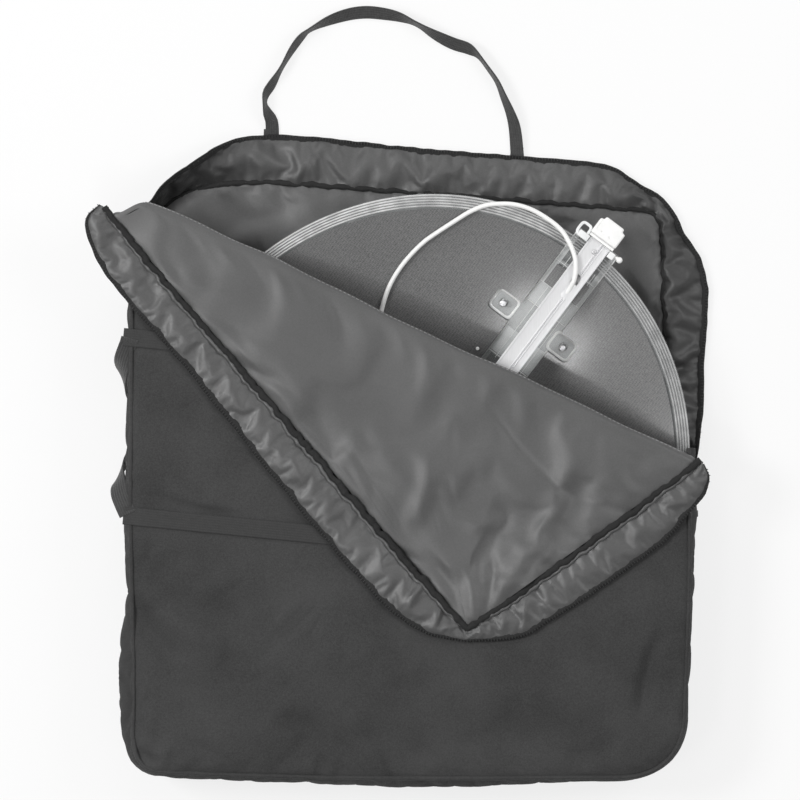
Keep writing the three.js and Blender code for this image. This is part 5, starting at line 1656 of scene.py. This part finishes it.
recess = block(11.4, 27, 1.2, (ARM_SIDE + 3, 325, 100.6))
bevel(recess, 0.5, 2)
hard_piece(recess, "slot_liner", dish_place, "arm", "aluminium", arm_metal)

plug = block(33, 9, 15, (ARM_SIDE, 2.2, ARM_FOOT + 7.5))
bevel(plug, 1.4, 3)
hard_piece(plug, "arm_end_plug", dish_place, "arm", "white_plastic", white_mould, ["arm_plug"])

collar = block(40, 4, 19, (ARM_SIDE, 408.8, ARM_FOOT + 9.5))
inset_faces(collar, lambda n: n.z > 0.9, 0.9, -0.7)
bevel(collar, 0.5, 2)
hard_piece(collar, "arm_end_collar", dish_place, "arm", "white_plastic", white_mould, ["arm_collar"])

HEAD_FOOT = 411.1
head = block(42, 30, 22, (ARM_SIDE, HEAD_FOOT + 15, ARM_FOOT + 11))
cut(head, *[block(20, 20, 60, (ARM_SIDE + s * 25.5, HEAD_FOOT + 34.5, ARM_FOOT)) for s in (-1, 1)])
bevel(head, 3.0, 4)
notches = [block(5, 2.2, 3, (ARM_SIDE + x, HEAD_FOOT + 8.5, ARM_FOOT + 22)) for x in (-7, 6)]
notches.append(block(1.4, 14, 2.2, (ARM_SIDE - 16.5, HEAD_FOOT + 15, ARM_FOOT + 22)))
cut(head, *notches)
bevel(head, 0.25, 1, 50)
hard_piece(head, "feed_head_block", dish_place, "head", "white_plastic", white_mould, ["feed_head"], angle=40)


# ---- cable end, and the cable's sheath ----

end_at, before_end = cable_line[-1], cable_line[-4]
heading = (Vector(end_at) - Vector(before_end)).normalized()
connector_place = Matrix.Translation(Vector(end_at) + heading * 0.3)
connector_place = connector_place @ heading.to_track_quat("Z", "Y").to_matrix().to_4x4()
sleeve = round_bar(3.85, 9.9, (0, 0, 4.95), 28)
inset_faces(sleeve, lambda n: abs(n.z) > 0.9, 0.5)
bevel(sleeve, 0.4, 2)
hexnut = round_bar(6.5, 8.8, (0, 0, 14.3), 6)
bevel(hexnut, 0.6, 2)
collar_ring = round_bar(5.0, 3.4, (0, 0, 20.3), 28)
bevel(collar_ring, 0.5, 2)
pin = round_bar(0.6, 3, (0, 0, 20.6), 10)
connector = join_all("connector", [sleeve, hexnut, collar_ring, pin])
hard_piece(connector, "screw_on_connector", connector_place, "dish", "steel", steel, ["coax_connector"])

if not coax.data.uv_layers:
    coax.data.uv_layers.new(name="UVMap")
dress(coax, sheath)
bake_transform(coax)
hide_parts("coax_cable")


# ---- floor, lamps and world ----

clear_choice()
bpy.ops.mesh.primitive_plane_add(size=14, location=(0, 0, -0.0012))
floor = bpy.context.object
floor.name = "floor"
mat, tree, b = shader("pale_floor", grey(0.86), 0.9)
light = node(tree, "LightPath")
rays = maths(tree, "MAXIMUM", light.outputs["Is Camera Ray"], light.outputs["Is Glossy Ray"])
rays = maths(tree, "MAXIMUM", rays, light.outputs["Is Transmission Ray"])
part_white = maths(tree, "MULTIPLY", rays, 0.78)
glow = node(tree, "Emission", Strength=1.0)
mix = node(tree, "MixShader", {0: part_white, 1: b.outputs[0], 2: glow.outputs[0]})
tree.links.new(mix.outputs[0], tree.nodes["Material Output"].inputs["Surface"])
floor.data.materials.append(mat)
floor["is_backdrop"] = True

world = bpy.data.worlds.new("studio")
bpy.context.scene.world = world
world.use_nodes = True
world.node_tree.nodes["Background"].inputs["Color"].default_value = (1, 1, 1, 1)
world.node_tree.nodes["Background"].inputs["Strength"].default_value = 0.36


def lamp(name, at, size, power):
    """A lamp that looks at the middle of the floor."""
    data = bpy.data.lights.new(name, "AREA")
    data.shape = "RECTANGLE"
    data.size, data.size_y = size
    data.energy = power
    obj = linked(name, data)
    obj.location = at
    obj.rotation_euler = (-Vector(at)).to_track_quat("-Z", "Y").to_euler()


lamp("key_lamp", (-3.0, 0.6, 3.6), (1.25, 1.25), 108)
lamp("glow_lamp", (-0.68, -0.78, 2.5), (0.55, 0.22), 8)
lamp("fill_lamp", (2.4, 0.9, 2.6), (1.6, 1.6), 32)
lamp("top_lamp", (-0.4, 2.6, 1.9), (1.6, 1.0), 16)

bpy.context.scene.view_settings.view_transform = "Standard"

low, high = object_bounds()
